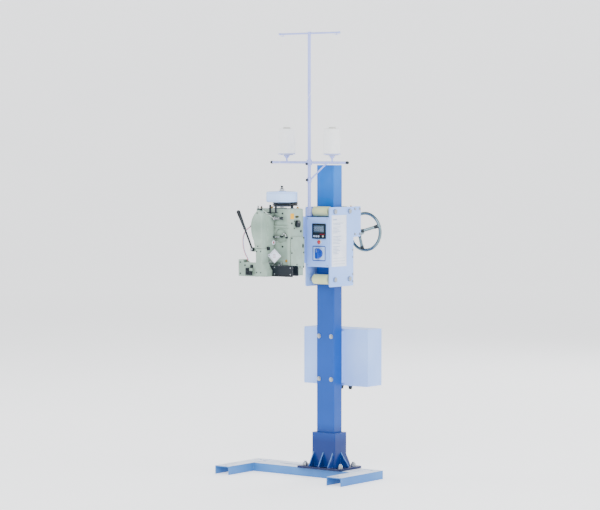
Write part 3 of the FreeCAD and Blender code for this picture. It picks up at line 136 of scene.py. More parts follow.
class Recipe:
    """Node material whose pattern lies in the object's own coordinates, in metres."""

    def __init__(self, name, roughness=0.4, metallic=0.0, coat=0.0):
        self.material = bpy.data.materials.new(name)
        self.material.use_nodes = True
        self.tree = self.material.node_tree
        self.shader = self.tree.nodes["Principled BSDF"]
        self.shader.inputs["Roughness"].default_value = roughness
        self.shader.inputs["Metallic"].default_value = metallic
        self.shader.inputs["Coat Weight"].default_value = coat
        self.shader.inputs["Coat Roughness"].default_value = 0.12
        self.shader.inputs["Specular IOR Level"].default_value = 0.22
        self.place = self.add("ShaderNodeTexCoord").outputs["Object"]
        self.soft_normal = None

    def add(self, kind, **settings):
        node = self.tree.nodes.new(kind)
        for key, value in settings.items():
            setattr(node, key, value)
        return node

    def feed(self, value, socket):
        if isinstance(value, bpy.types.NodeSocket):
            self.tree.links.new(value, socket)
        else:
            socket.default_value = value

    def stretched(self, stretch):
        mapping = self.add("ShaderNodeMapping")
        mapping.inputs["Scale"].default_value = stretch
        self.feed(self.place, mapping.inputs["Vector"])
        return mapping.outputs["Vector"]

    def noise(self, scale, detail=3.0, stretch=None):
        node = self.add("ShaderNodeTexNoise")
        node.inputs["Scale"].default_value = scale
        node.inputs["Detail"].default_value = detail
        self.feed(self.stretched(stretch) if stretch else self.place, node.inputs["Vector"])
        return node.outputs["Fac"]

    def cells(self, scale):
        node = self.add("ShaderNodeTexVoronoi", feature="SMOOTH_F1")
        node.inputs["Scale"].default_value = scale
        self.feed(self.place, node.inputs["Vector"])
        return node.outputs["Distance"]

    def bands(self, scale, axis, distortion=0.0, profile="SIN"):
        node = self.add("ShaderNodeTexWave", bands_direction=axis, wave_profile=profile)
        node.inputs["Scale"].default_value = scale
        node.inputs["Distortion"].default_value = distortion
        self.feed(self.place, node.inputs["Vector"])
        return node.outputs["Fac"]

    def spread(self, value, low, high, start, end):
        node = self.add("ShaderNodeMapRange")
        for socket, number in zip(("From Min", "From Max", "To Min", "To Max"), (low, high, start, end)):
            node.inputs[socket].default_value = number
        self.feed(value, node.inputs["Value"])
        return node.outputs["Result"]

    def sums(self, kind, first, second):
        node = self.add("ShaderNodeMath", operation=kind)
        self.feed(first, node.inputs[0])
        self.feed(second, node.inputs[1])
        return node.outputs["Value"]

    def mix(self, factor, first, second):
        node = self.add("ShaderNodeMix", data_type="RGBA")
        self.feed(factor, node.inputs["Factor"])
        self.feed(first, node.inputs[6])
        self.feed(second, node.inputs[7])
        return node.outputs[2]

    def height_above_floor(self):
        """Height in the object's coordinates, which is that above the floor at rest."""
        node = self.add("ShaderNodeSeparateXYZ")
        self.feed(self.place, node.inputs["Vector"])
        return node.outputs["Z"]

    def facing_up(self):
        node = self.add("ShaderNodeSeparateXYZ")
        self.feed(self.add("ShaderNodeNewGeometry").outputs["Normal"], node.inputs["Vector"])
        return self.spread(node.outputs["Z"], 0.6, 0.95, 0.0, 1.0)

    def round_off(self, radius=0.0015):
        """Rounds the edges' shading and leaves the mesh as it is."""
        soft = self.add("ShaderNodeBevel", samples=4)
        soft.inputs["Radius"].default_value = radius
        self.soft_normal = soft.outputs["Normal"]

    def edges(self, radius=0.0015):
        """One on worn outer edges and in inner corners, nought on the flats."""
        self.round_off(radius)
        flat = self.add("ShaderNodeNewGeometry").outputs["Normal"]
        dot = self.add("ShaderNodeVectorMath", operation="DOT_PRODUCT")
        self.feed(self.soft_normal, dot.inputs[0])
        self.feed(flat, dot.inputs[1])
        return self.spread(dot.outputs["Value"], 0.995, 0.80, 0.0, 1.0)

    def painted_crease_shade(self, colour, dark, amount, reach=0.03):
        """Painted shade: darkens a colour where surfaces meet, from ambient occlusion."""
        node = self.add("ShaderNodeAmbientOcclusion", samples=6)
        node.inputs["Distance"].default_value = reach
        return self.mix(self.spread(node.outputs["AO"], 0.95, 0.35, 0.0, amount), colour, dark)

    def bump(self, height, strength, depth):
        node = self.add("ShaderNodeBump")
        node.inputs["Strength"].default_value = strength
        node.inputs["Distance"].default_value = depth
        self.feed(height, node.inputs["Height"])
        if self.soft_normal:
            self.feed(self.soft_normal, node.inputs["Normal"])
        self.feed(node.outputs["Normal"], self.shader.inputs["Normal"])

    def finish(self, colour, roughness=None):
        self.feed(colour, self.shader.inputs["Base Color"])
        if roughness is not None:
            self.feed(roughness, self.shader.inputs["Roughness"])
        return self.material


def painted(name, colour, shade, rough=0.36, peel=420.0, relief=0.12, height_shading=(), dust_and_top_light=None):
    """Sprayed enamel: cloudy tone, orange peel, a thin clear top, rubbed edges and painted shade where
    surfaces meet.
    The height fades, each (start height, end height, colour), paint light and shade by height, and the top
    colour gives upward faces painted light, dusty in patches."""
    r = Recipe(name, coat=0.12)
    base = r.mix(r.spread(r.noise(2.2, 5.0), 0.35, 0.68, 0.0, 1.0), tint(colour), tint(shade))
    # Painted light and shade: the colour fades to other tones by height.
    for start, end, tone in height_shading:
        base = r.mix(r.spread(r.height_above_floor(), start, end, 0.0, 0.85), base, tint(tone))
    # Painted top light: upward faces turn lighter, dusty in patches.
    if dust_and_top_light:
        dust_and_top_light_mask = r.sums("MULTIPLY", r.facing_up(), r.spread(r.noise(16.0, 6.0), 0.2, 0.6, 0.55, 0.95))
        base = r.mix(dust_and_top_light_mask, base, tint(dust_and_top_light))
    scuffs = r.spread(r.noise(38.0, 9.0, (1.0, 1.0, 0.25)), 0.60, 0.72, 0.0, 0.22)
    base = r.mix(scuffs, base, tint(shade))
    # Painted shade where surfaces meet.
    base = r.painted_crease_shade(base, tint(shade), 0.5)
    worn = r.sums("MULTIPLY", r.edges(), r.spread(r.noise(55.0, 4.0), 0.42, 0.62, 0.0, 0.5))
    base = r.mix(worn, base, tint("e9edf0"))
    r.bump(r.noise(peel, 2.0), relief, 0.0006)
    return r.finish(base, r.spread(r.noise(14.0, 6.0), 0.3, 0.7, rough - 0.07, rough + 0.1))


def hammered(name, colour, shade):
    """Cast iron under thick enamel: soft dimples, dull patches, chipped edges and painted shade where
    surfaces meet.
    """
    r = Recipe(name, coat=0.3)
    base = r.mix(r.spread(r.noise(7.0, 6.0), 0.35, 0.65, 0.0, 1.0), tint(colour), tint(shade))
    grime = r.spread(r.noise(24.0, 8.0), 0.57, 0.75, 0.0, 0.45)
    base = r.mix(grime, base, tint("7f897c"))
    # Painted shade where surfaces meet, strong on the head.
    base = r.painted_crease_shade(base, tint("5d6a5f"), 0.8, 0.022)
    worn = r.sums("MULTIPLY", r.edges(0.002), r.spread(r.noise(60.0, 4.0), 0.40, 0.6, 0.0, 0.65))
    base = r.mix(worn, base, tint("dfe3dc"))
    dimples = r.sums("ADD", r.cells(150.0), r.sums("MULTIPLY", r.noise(35.0, 3.0), 1.6))
    r.bump(dimples, 0.22, 0.0012)
    return r.finish(base, r.spread(r.noise(18.0, 5.0), 0.3, 0.7, 0.26, 0.44))


def metal(name, colour, shade, rough, stretch=(1.0, 1.0, 1.0), grain=300.0, relief=0.06):
    """Bare or plated metal with a directional grain and darker handling marks."""
    r = Recipe(name, metallic=1.0)
    streaks = r.noise(grain, 4.0, stretch)
    base = r.mix(r.spread(streaks, 0.3, 0.7, 0.0, 1.0), tint(colour), tint(shade))
    smudges = r.spread(r.noise(30.0, 6.0), 0.55, 0.75, 0.0, 0.5)
    base = r.mix(smudges, base, tint(shade))
    r.round_off(0.0008)
    r.bump(streaks, relief, 0.0003)
    return r.finish(base, r.spread(r.noise(45.0, 5.0), 0.3, 0.7, max(rough - 0.08, 0.05), rough + 0.12))


def moulded(name, colour, shade, rough, grain=900.0, relief=0.1, coat=0.0):
    """Moulded plastic or rubber with a fine skin texture and slight fading."""
    r = Recipe(name, coat=coat)
    base = r.mix(r.spread(r.noise(12.0, 5.0), 0.35, 0.65, 0.0, 1.0), tint(colour), tint(shade))
    worn = r.sums("MULTIPLY", r.edges(0.0008), 0.25)
    base = r.mix(worn, base, tint("c9ced2"))
    r.bump(r.noise(grain, 2.0), relief, 0.0003)
    return r.finish(base, r.spread(r.noise(60.0, 4.0), 0.3, 0.7, rough - 0.06, rough + 0.08))


PULLEY_TOP = 1.5415


def drum_paint():
    """Light enamel on the drum, black on the V-pulley under it."""
    r = Recipe("drum_paint", coat=0.25)
    clouds = r.spread(r.noise(6.0, 5.0, (1.0, 1.0, 0.3)), 0.35, 0.68, 0.0, 1.0)
    light = r.mix(clouds, tint("b2d2ff"), tint("9cc0fb"))
    black = r.mix(r.spread(r.noise(30.0, 5.0), 0.35, 0.65, 0.0, 1.0), tint("10181d"), tint("262f34"))
    above = r.spread(r.height_above_floor(), PULLEY_TOP - 0.0003, PULLEY_TOP + 0.0003, 0.0, 1.0)
    # Painted shade where surfaces meet on the drum and its pulley.
    base = r.painted_crease_shade(r.mix(above, black, light), tint("7d8ca6"), 0.5)
    r.round_off()
    r.bump(r.noise(420.0, 2.0), 0.12, 0.0006)
    return r.finish(base, r.spread(r.noise(14.0, 6.0), 0.3, 0.7, 0.28, 0.45))


def turned_nylon():
    """Cream nylon with fine turning rings round the roller."""
    r = Recipe("roller_nylon")
    base = r.mix(r.spread(r.noise(9.0, 5.0), 0.35, 0.7, 0.0, 1.0), tint("c3cc9e"), tint("abb582"))
    rings = r.bands(260.0, "X", 0.4)
    base = r.mix(r.sums("MULTIPLY", rings, 0.12), base, tint("b9b48c"))
    r.shader.inputs["Subsurface Weight"].default_value = 0.08
    r.round_off(0.001)
    r.bump(rings, 0.12, 0.0004)
    return r.finish(base, r.spread(r.noise(50.0, 4.0), 0.3, 0.7, 0.34, 0.5))


def wound_thread():
    """White sewing thread: fine twisted strands with a soft sheen."""
    r = Recipe("thread_white", roughness=0.75)
    strands = r.bands(420.0, "Z", 1.5)
    fuzz = r.noise(700.0, 4.0)
    base = r.mix(r.sums("MULTIPLY", strands, 0.35), tint("f3f4f4"), tint("cfd4da"))
    base = r.mix(r.spread(r.noise(40.0, 5.0), 0.4, 0.7, 0.0, 0.35), base, tint("dde2e6"))
    r.shader.inputs["Sheen Weight"].default_value = 0.35
    r.bump(r.sums("ADD", strands, r.sums("MULTIPLY", fuzz, 0.5)), 0.45, 0.0006)
    return r.finish(base, r.spread(fuzz, 0.3, 0.7, 0.62, 0.85))


def display_glass():
    """Dark display: a lighter blue-grey field with faint scan rows behind a glossy front."""
    r = Recipe("display_glass", roughness=0.12, coat=0.8)
    rows = r.bands(340.0, "Z", 0.0)
    base = r.mix(r.spread(r.noise(20.0, 3.0), 0.35, 0.7, 0.0, 1.0), tint("4b6076"), tint("2f4154"))
    base = r.mix(r.sums("MULTIPLY", rows, 0.3), base, tint("61788e"))
    r.bump(r.noise(120.0, 2.0), 0.03, 0.0002)
    return r.finish(base, r.spread(r.noise(30.0, 4.0), 0.3, 0.7, 0.08, 0.2))


def red_glass():
    """Faceted red lens with a deep core and a faint painted glow."""
    r = Recipe("red_lens", roughness=0.14, coat=0.8)
    facets = r.cells(520.0)
    base = r.mix(r.spread(facets, 0.1, 0.6, 0.0, 1.0), tint("c8142c"), tint("7c0618"))
    # Painted glow: everything in this red gives off a faint red light of its own.
    r.shader.inputs["Emission Color"].default_value = tint("c01028")
    r.shader.inputs["Emission Strength"].default_value = 0.12
    r.bump(facets, 0.25, 0.0006)
    return r.finish(base, r.spread(r.noise(80.0, 3.0), 0.3, 0.7, 0.1, 0.22))


def floor_material():
    r = Recipe("studio_floor", roughness=0.6)
    base = r.mix(r.spread(r.noise(0.8, 4.0), 0.3, 0.7, 0.0, 1.0), tint("f2f3f5"), tint("eeeff2"))
    r.bump(r.noise(90.0, 3.0), 0.02, 0.0005)
    r.shader.inputs["Emission Color"].default_value = (1.0, 1.0, 1.0, 1.0)
    r.shader.inputs["Emission Strength"].default_value = 0.9
    return r.finish(base)


def make_materials():
    return {
        # base_paint gets painted top light, dusty in patches, on its upward faces.
        "base_paint": painted("base_paint", "4a80bc", "3169ac", dust_and_top_light="e8eefa"),
        "deep_blue_paint": painted("deep_blue_paint", "021850", "021038"),
        # Painted light and shade on blue_paint: lighter up the column, darker near its foot.
        "blue_paint": painted("blue_paint", "00449a", "003c88", height_shading=((1.35, 1.7, "046fc8"),
                                                                       (0.3, 0.2, "001e60"))),
        "light_paint": painted("light_paint", "9cbefa", "86aaf0"),
        "head_paint": hammered("head_paint", "93a89c", "7a8e82"),
        "motor_paint": painted("motor_paint", "97a3a2", "7f8c8c"),
        "mast_paint": painted("mast_paint", "a9b5ee", "929fe0"),
        "dark_steel": metal("dark_steel", "3a4045", "23282c", 0.38),
        "zinc_steel": metal("zinc_steel", "b9bdc1", "8e9499", 0.34),
        "polished_steel": metal("polished_steel", "c9cccf", "a3a8ac", 0.2, (1.0, 1.0, 8.0)),
        "chrome": metal("chrome", "7f959d", "4c6069", 0.22),
        "bronze": metal("bronze", "c59a4a", "96702c", 0.3),
        "black_plastic": moulded("black_plastic", "14202a", "0b1319", 0.38, coat=0.1),
        "grey_parts": moulded("grey_parts", "c9cac4", "b3b5b0", 0.45),
        "red_lens": red_glass(),
        "switch_face": moulded("switch_face", "a9c3ea", "98b4de", 0.35, coat=0.2),
        "blue_plastic": moulded("blue_plastic", "1341a6", "0c2f84", 0.32, coat=0.2),
        "thread_white": wound_thread(),
        # Painted shade: the guide's own dark paint is made darker still, to its tone in shade.
        "guide_navy": painted("guide_navy", "0e1a24", "080f16", 0.42),
        "belt_rubber": moulded("belt_rubber", "17191b", "0e1011", 0.6, 500.0, 0.3),
        "wire_red": moulded("wire_red", "d42a28", "b41c1c", 0.4),
        "wire_blue": moulded("wire_blue", "7d9ad8", "6483c8", 0.4),
        "roller_nylon": turned_nylon(),
        "drum_paint": drum_paint(),
        "display_glass": display_glass(),
        "print_grey": moulded("print_grey", "9fb0cc", "8ea1c0", 0.5),
        "plate_white": moulded("plate_white", "e2e8f4", "d3dbec", 0.32, coat=0.4),
        "yellow_mark": moulded("yellow_mark", "e8b22c", "cf9517", 0.4),
        "olive_mark": moulded("olive_mark", "4a4a2c", "33341d", 0.45),
        "rose_print": moulded("rose_print", "c49bb4", "a98199", 0.5),
    }


materials = make_materials()
for colour, lead in leads.items():
    lead.data.materials.append(materials["wire_" + colour])
for part in frame["record"]["subparts"]:
    node = frame["nodes"][part["node"]]
    node.data.materials.clear()
    finish = "drum_paint" if part["node"] == "drum_pulley" else part["material_slot"]
    node.data.materials.append(materials[finish])


# ---------------- mesh building

def across(direction):
    """Two directions square to the given one and to each other."""
    side = direction.cross(Z if abs(direction.z) < 0.9 else X).normalized()
    return side, direction.cross(side).normalized()


def join_rings(mesh, first, second):
    """Faces between two rings of vertices, either of which may be a single point."""
    for k in range(max(len(first), len(second))):
        corners = [first[k - 1], first[k]] if len(first) > 1 else [first[0]]
        corners += [second[k], second[k - 1]] if len(second) > 1 else [second[0]]
        mesh.faces.new(corners)


class Piece:
    """Solids gathered in millimetres that become one object on a body."""

    def __init__(self, name):
        self.name = name
        self.mesh = bmesh.new()

    def box(self, xs, ys, zs, edge=0.6):
        corners = bmesh.ops.create_cube(self.mesh, size=1.0)["verts"]
        for vertex in corners:
            vertex.co = Vector([span[0] if value < 0 else span[1]
                                for value, span in zip(vertex.co, (xs, ys, zs))])
        self.soften(corners, edge)

    def soften(self, vertices, edge):
        if edge:
            edges = list({e for v in vertices for e in v.link_edges})
            bmesh.ops.bevel(self.mesh, geom=edges, offset=edge, segments=2, affect="EDGES", profile=0.6)

    def slab(self, outline, start, depth, edge=0.4):
        """Closed outline of points in space, pushed along the vector `depth` from `start`."""
        low = [self.mesh.verts.new(start + Vector(p)) for p in outline]
        high = [self.mesh.verts.new(start + depth + Vector(p)) for p in outline]
        self.mesh.faces.new(low)
        self.mesh.faces.new(high[::-1])
        for k, point in enumerate(low):
            self.mesh.faces.new((low[k - 1], point, high[k], high[k - 1]))
        self.soften(low + high, edge)

    def turned(self, start, direction, profile, steps=28, ridges=0, depth=0.0, loop=False):
        """Profile of (distance along, radius) turned round an axis; loop joins its ends as a ring."""
        side, up = across(direction)
        rings = []
        for along, radius in profile:
            if radius == 0:
                rings.append([self.mesh.verts.new(start + direction * along)])
                continue
            ring = []
            for k in range(steps):
                turn = 2 * math.pi * k / steps
                reach = radius - depth * (0.5 + 0.5 * math.cos(ridges * turn)) if ridges else radius
                spot = side * math.cos(turn) + up * math.sin(turn)
                ring.append(self.mesh.verts.new(start + direction * along + spot * reach))
            rings.append(ring)
        pairs = list(zip(rings, rings[1:])) + ([(rings[-1], rings[0])] if loop else [])
        for first, second in pairs:
            join_rings(self.mesh, first, second)
        if not loop:
            for ring in (rings[0], rings[-1]):
                if len(ring) > 1:
                    self.mesh.faces.new(ring)

    def sweep(self, points, radius, steps=10, closed=False, ripple=0.0):
        """Round tube along points; ripple swells every other ring, like a weld bead."""
        places = [Vector(p) for p in points]
        count = len(places)
        rings = []
        guide = None
        for k, place in enumerate(places):
            before = places[k - 1] if closed or k else place
            after = places[(k + 1) % count] if closed or k < count - 1 else place
            heading = (after - before).normalized()
            side, up = across(heading)
            if guide:
                side = (guide - heading * guide.dot(heading)).normalized()
                up = heading.cross(side)
            guide = side
            reach = radius * (1 + ripple * (k % 2))
            rings.append([self.mesh.verts.new(place + (side * math.cos(t) + up * math.sin(t)) * reach)
                          for t in (2 * math.pi * n / steps for n in range(steps))])
        for first, second in zip(rings, rings[1:]):
            join_rings(self.mesh, first, second)
        if closed:
            join_rings(self.mesh, rings[-1], rings[0])
        else:
            self.mesh.faces.new(rings[0])
            self.mesh.faces.new(rings[-1])

    def cap_screw(self, place, direction, radius, height):
        """Socket head screw with a hollow in its head."""
        profile = [(0, radius), (height * 0.75, radius), (height, radius * 0.85), (height, radius * 0.5),
                   (height * 0.35, radius * 0.42), (height * 0.35, 0)]
        self.turned(Vector(place), direction, profile, 20)

    def hex_bolt(self, place, direction, radius, height):
        """Hexagon head on a round washer."""
        place = Vector(place)
        washer = height * 0.22
        head = height - washer
        self.turned(place, direction, [(0, radius * 1.35), (washer, radius * 1.3), (washer, 0)], 24)
        self.turned(place + direction * washer, direction,
                    [(0, radius), (height * 0.6, radius), (head, radius * 0.84), (head, 0)], 6)

    def done(self, body, slot, material=None, angle=32.0):
        """Makes the object, which rides on a body; material is the slot's own unless another is named."""
        bmesh.ops.recalc_face_normals(self.mesh, faces=self.mesh.faces)
        self.mesh.transform(Matrix.Scale(MM, 4))
        mesh = bpy.data.meshes.new(self.name)
        self.mesh.to_mesh(mesh)
        self.mesh.free()
        mesh.shade_smooth()
        mesh.set_sharp_from_angle(angle=math.radians(angle))
        mesh.materials.append(materials[material or slot])
        made = bpy.data.objects.new(self.name, mesh)
        bpy.context.scene.collection.objects.link(made)
        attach(made, body)
        return made


def ellipse(centre, first, second, count=28, phase=0):
    """Points round an ellipse or circle with the given half-axes, from phase degrees on."""
    turns = (math.radians(phase) + 2 * math.pi * k / count for k in range(count))
    return [centre + first * math.cos(t) + second * math.sin(t) for t in turns]


def straight(start, end, pitch):
    """Evenly spaced points from start to end."""
    start, end = Vector(start), Vector(end)
    count = max(2, round((end - start).length / pitch))
    return [start.lerp(end, k / count) for k in range(count + 1)]


# ---------------- base and column

BOOT, PLATE_TOP, BAR_TOP = (80.0, 56.0), 60.0, 48.0
GUSSET_X, GUSSET_HALF, GUSSET_TOE_Y, SIDE_TOE_X = (-66.0, 0.0, 66.0), 4.0, 103.0, 135.0
GUSSET_Z = (PLATE_TOP + 6.4, PLATE_TOP + 80.2)
BAR_ENDS_X, BAR_HALF, BAR_EDGES_Y = (-475.0, 209.0), 85.5, ((-84.0, -6.0), (6.0, 84.0))
BEAD_R, THIN_BEAD_R, BAR_BEAD_R, BEAD_PITCH, BEAD_RIPPLE = 2.6, 1.8, 2.0, 4.0, 0.16


def weld(piece, start, end, radius):
    """One straight rippled bead."""
    piece.sweep(straight(start, end, BEAD_PITCH), radius, 8, ripple=BEAD_RIPPLE)


def weld_beads():
    """Fillet welds round the boot, its gussets and the bar's joints with the feet."""
    bead = Piece("weld_beads_blue")
    x, y = BOOT
    corners = [(-x, -y, PLATE_TOP), (x, -y, PLATE_TOP), (x, y, PLATE_TOP), (-x, y, PLATE_TOP)]
    for start, end in zip(corners, corners[1:] + corners[:1]):
        weld(bead, start, end, BEAD_R)
    for place in GUSSET_X:
        for side in (-1, 1):
            for edge in (place - GUSSET_HALF, place + GUSSET_HALF):
                weld(bead, (edge, side * (y + 2), PLATE_TOP), (edge, side * (GUSSET_TOE_Y - 1), PLATE_TOP),
                     THIN_BEAD_R)
    bead.done("stand", "blue_paint")
    bead = Piece("weld_beads_base")
    top = BAR_TOP - 0.5
    for joint in BAR_ENDS_X:
        for start, end in BAR_EDGES_Y:
            weld(bead, (joint, start, top), (joint, end, top), BAR_BEAD_R)
        for side in (-BAR_HALF, BAR_HALF):
            weld(bead, (joint, side, 4), (joint, side, BAR_TOP - 3), BAR_BEAD_R)
    bead.done("stand", "base_paint")


def gusset_edges():
    """Bright rubbed edges along the gussets' slopes."""
    edge = Piece("gusset_edges")
    low, high = GUSSET_Z
    for place in GUSSET_X:
        for side in (-1, 1):
            toe, wall = (place, side * GUSSET_TOE_Y, low), (place, side * (BOOT[1] + 0.5), high)
            edge.sweep(straight(toe, wall, 8.0), 2.2, 8)
    for side in (-1, 1):
        toe, wall = (side * SIDE_TOE_X, 0, low), (side * (BOOT[0] + 0.5), 0, high)
        edge.sweep(straight(toe, wall, 8.0), 2.2, 8)
    edge.done("stand", "base_paint")


# ---------------- carriage

PLATE_FACE = 86.0
HOUSING_FACE = 180.0
PRINT_LEFT = -84.0
BRACKET_SIDE, BRACKET_BACK = -98.0, -198.0


def instruction_plate():
    """Blank plate on the carriage's side, with plain grey bands where its print would be."""
    plate = Piece("instruction_plate")
    plate.box((PLATE_FACE, PLATE_FACE + 1.2), (-95, 43), (1182, 1468), 0.5)
    for y in (-89, 37):
        for z in (1188, 1462):
            plate.cap_screw((PLATE_FACE + 1.2, y, z), X, 2.6, 1.4)
    plate.done("carriage", "light_paint", "plate_white")
    bands = Piece("instruction_bands")
    face = (PLATE_FACE + 1.15, PLATE_FACE + 1.4)
    bands.box(face, (PRINT_LEFT, PRINT_LEFT + 36), (1440, 1447), 0.1)
    for top, rows, reach in ((1425, 2, 96), (1404, 5, 70), (1352, 6, 78), (1296, 6, 66)):
        for k in range(rows):
            length = reach - 14 * ((k * 5) % 3)
            bands.box(face, (PRINT_LEFT, PRINT_LEFT + length), (top - 8 * k - 3.2, top - 8 * k), 0.1)
    for z in (1196, 1212, 1228):
        bands.box(face, (PRINT_LEFT, 30), (z, z + 2.0), 0.1)
    for edge in (-91.5, 39.0):
        bands.box(face, (edge, edge + 1.2), (1193, 1457), 0.1)
    bands.done("carriage", "light_paint", "print_grey")


def carriage_fasteners():
    """Bolts of the bearing housing, the plates and the head's bracket, and the panel's screws."""
    bolts = Piece("carriage_bolts")
    for y in (124, 169):
        for z in (1358, 1499):
            bolts.hex_bolt((PLATE_FACE, y, z), X, 5.6, 6.0)
    for z in (1095, 1135, 1230, 1270):
        for side in (-1, 1):
            bolts.cap_screw((side * PLATE_FACE, 101, z), X * side, 4.6, 5.0)
    for z in (1450, 1490):
        bolts.cap_screw((-PLATE_FACE, 101, z), -X, 4.6, 5.0)
    for x in (22, 70):
        for z in (1353, 1496):
            bolts.cap_screw((x, HOUSING_FACE, z), Y, 4.2, 4.5)
    for z in (1222, 1378):
        for y in (-28, 40):
            bolts.hex_bolt((BRACKET_SIDE, y, z), -X, 8.0, 8.0)
    for x in (-226, -112):
        for z in (1192, 1428):
            bolts.hex_bolt((x, BRACKET_BACK, z), Y, 7.0, 7.0)
    bolts.done("carriage", "zinc_steel")
    screws = Piece("panel_screws")
    for x in (-68, 68):
        for z in (1190, 1448):
            screws.cap_screw((x, PANEL.y, z), -Y, 3.2, 1.8)
    screws.done("carriage", "zinc_steel")


def oil_cup():
    """Brass cup on top of the bearing housing."""
    cup = Piece("gear_oil_cup")
    profile = [(0, 5.6), (9, 5.6), (9, 8.5), (11, 8.5), (12, 6.2), (18, 6.0), (21, 4.0), (22, 0)]
    cup.turned(Vector((46, 140, 1496)), Z, profile)
    cup.done("carriage", "bronze")


def bearing_flange():
    """Flange with three screws round the handwheel's shaft."""
    flange = Piece("bearing_flange")
    ring = [(0, 24.0), (3.5, 23.5), (4.5, 22.0), (4.5, 13.6), (0, 13.6)]
    flange.turned(Vector((WHEEL.x, HOUSING_FACE, WHEEL.z)), Y, ring, 40, loop=True)
    for spot in ellipse(WHEEL + Y * (HOUSING_FACE + 4.5), X * 18.6, Z * 18.6, 3, 90):
        flange.cap_screw(spot, Y, 2.4, 2.0)
    flange.done("carriage", "dark_steel")


def counter_display():
    """Glass with blank segments in the counter's window, its keys and two red marks."""
    x = PANEL.x
    glass = Piece("counter_glass")
    glass.box((x - 35.6, x + 35.6), (COUNTER_FACE + 1.4, COUNTER_FACE + 2.5), (1374.4, 1411.6), 0.4)
    glass.done("carriage", "black_plastic", "display_glass")
    digits = Piece("counter_digits")
    face = (COUNTER_FACE + 1.1, COUNTER_FACE + 1.45)
    for k in range(6):
        left = x - 31 + k * 10.6
        for z in (1381, 1392.4, 1403.8):
            digits.box((left + 1.2, left + 6.4), face, (z - 0.6, z + 0.6), 0.1)
        for side in (left, left + 6.6):
            for z in (1382, 1393.4):
                digits.box((side, side + 1.0), face, (z, z + 9.4), 0.1)
    digits.done("carriage", "grey_parts", "print_grey")
    keys = Piece("counter_keys")
    back = COUNTER_FACE + 0.1
    for k in range(3):
        keys.box((x - 36 + 15 * k, x - 25 + 15 * k), (COUNTER_FACE - 2, back), (1346, 1357), 1.0)
    keys.done("carriage", "grey_parts", "print_grey")
    mark = Piece("counter_red_marks")
    mark.box((x + 8, x + 19), (COUNTER_FACE - 0.5, back), (1361, 1364.5), 0.2)
    mark.box((x + 22, x + 40), (COUNTER_FACE - 0.5, back), (1362, 1364.5), 0.2)
    mark.done("carriage", "red_lens")


def rounded_frame(centre, half, inset, depth, corner, steps=6):
    """Corners of a rounded rectangle square to Y, going round it once."""
    radius = max(corner - inset, 1.0)
    points = []
    for quarter, (sx, sz) in enumerate(((1, 1), (-1, 1), (-1, -1), (1, -1))):
        middle = Vector((centre.x + sx * (half[0] - inset - radius), depth,
                         centre.z + sz * (half[1] - inset - radius)))
        for k in range(steps):
            turn = math.pi / 2 * (quarter + k / (steps - 1))
            points.append(middle + Vector((math.cos(turn), 0, math.sin(turn))) * radius)
    return points


def frame_ring(piece, centre, half, width, face, corner):
    """Flat rectangular frame with rounded corners, in a plane square to Y."""
    rings = []
    for inset, depth in ((0.0, face[0]), (0.0, face[1]), (width, face[1]), (width, face[0])):
        points = rounded_frame(centre, half, inset, depth, corner)
        rings.append([piece.mesh.verts.new(point) for point in points])
    for first, second in zip(rings, rings[1:] + rings[:1]):
        join_rings(piece.mesh, first, second)


def switch_marks():
    """Blue border and three ticks on the switch plate, and the pointer on its knob."""
    centre = Vector((PANEL.x, 0, SWITCH_Z))
    ring = Piece("switch_border")
    print_y, print_depth = PANEL.y - 3.6, 0.7
    frame_ring(ring, centre, (45.0, 42.0), 5.0, (print_y, print_y + print_depth), 6.0)
    for degrees in (60, 90, 120):
        turn = math.radians(degrees)
        way = Vector((math.cos(turn), 0, math.sin(turn)))
        side = Vector((-way.z, 0, way.x)) * 0.9
        start, end = centre + way * 31, centre + way * 35
        ring.slab([start - side, start + side, end + side, end - side], Y * print_y, Y * print_depth, 0.1)
    ring.done("carriage", "blue_plastic")
    pointer = Piece("switch_pointer")
    grip_face = PANEL.y - 30.0
    pointer.box((PANEL.x - 1.2, PANEL.x + 1.2), (grip_face - 0.6, grip_face + 0.1),
                (SWITCH_Z + 6, SWITCH_Z + 25), 0.3)
    pointer.done("switch_knob", "switch_face")


def lamp_bezel():
    """Pale ring round the pilot lamp."""
    bezel = Piece("lamp_bezel")
    ring = [(0, 14.4), (3.2, 14.4), (4.4, 12.8), (4.4, 11.2), (3.1, 11.2), (0, 13.6)]
    bezel.turned(Vector((PANEL.x, PANEL.y, LAMP_Z)), -Y, ring, 36, loop=True)
    bezel.done("carriage", "grey_parts")


def handwheel_details():
    """Hub nut of the handwheel and the sleeves at both ends of its spokes."""
    nut = Piece("handwheel_nut")
    start = Vector((WHEEL.x, 236.0, WHEEL.z))
    nut.turned(start, Y, [(0, 15.0), (2.4, 14.6), (2.4, 8.0), (0, 8.02)], 30, loop=True)
    nut.turned(start + Y * 2.4, Y, [(0, 11.5), (8, 11.5), (10, 9.6), (10, 0)], 6)
    nut.turned(start + Y * 12.2, Y, [(0, 9.0), (3, 8.4), (6, 5.6), (7.5, 0)], 24)
    nut.done("handwheel", "zinc_steel")
    sleeves = Piece("handwheel_sleeves")
    for out in ellipse(Vector(), X, Z, SPOKES, SPOKE_START):
        inner, outer = [WHEEL + Y * y + out * reach for y, reach in zip(SPOKE_Y, SPOKE_REACH)]
        way = (outer - inner).normalized()
        sleeves.turned(outer - way * 30, way, [(0, 8.7), (2, 10.2), (15, 10.6), (22, 11.4), (24, 0)])
        sleeves.turned(inner + way * 2, way, [(0, 11.0), (10, 10.4), (15, 8.7), (15, 0)])
    sleeves.done("handwheel", "dark_steel")


# ---------------- thread stand

LOWER_ARM_Z, UPPER_ARM_Z = 1760.0, 2476.0
WINDING_R, WINDING_STEPS = 0.55, 20


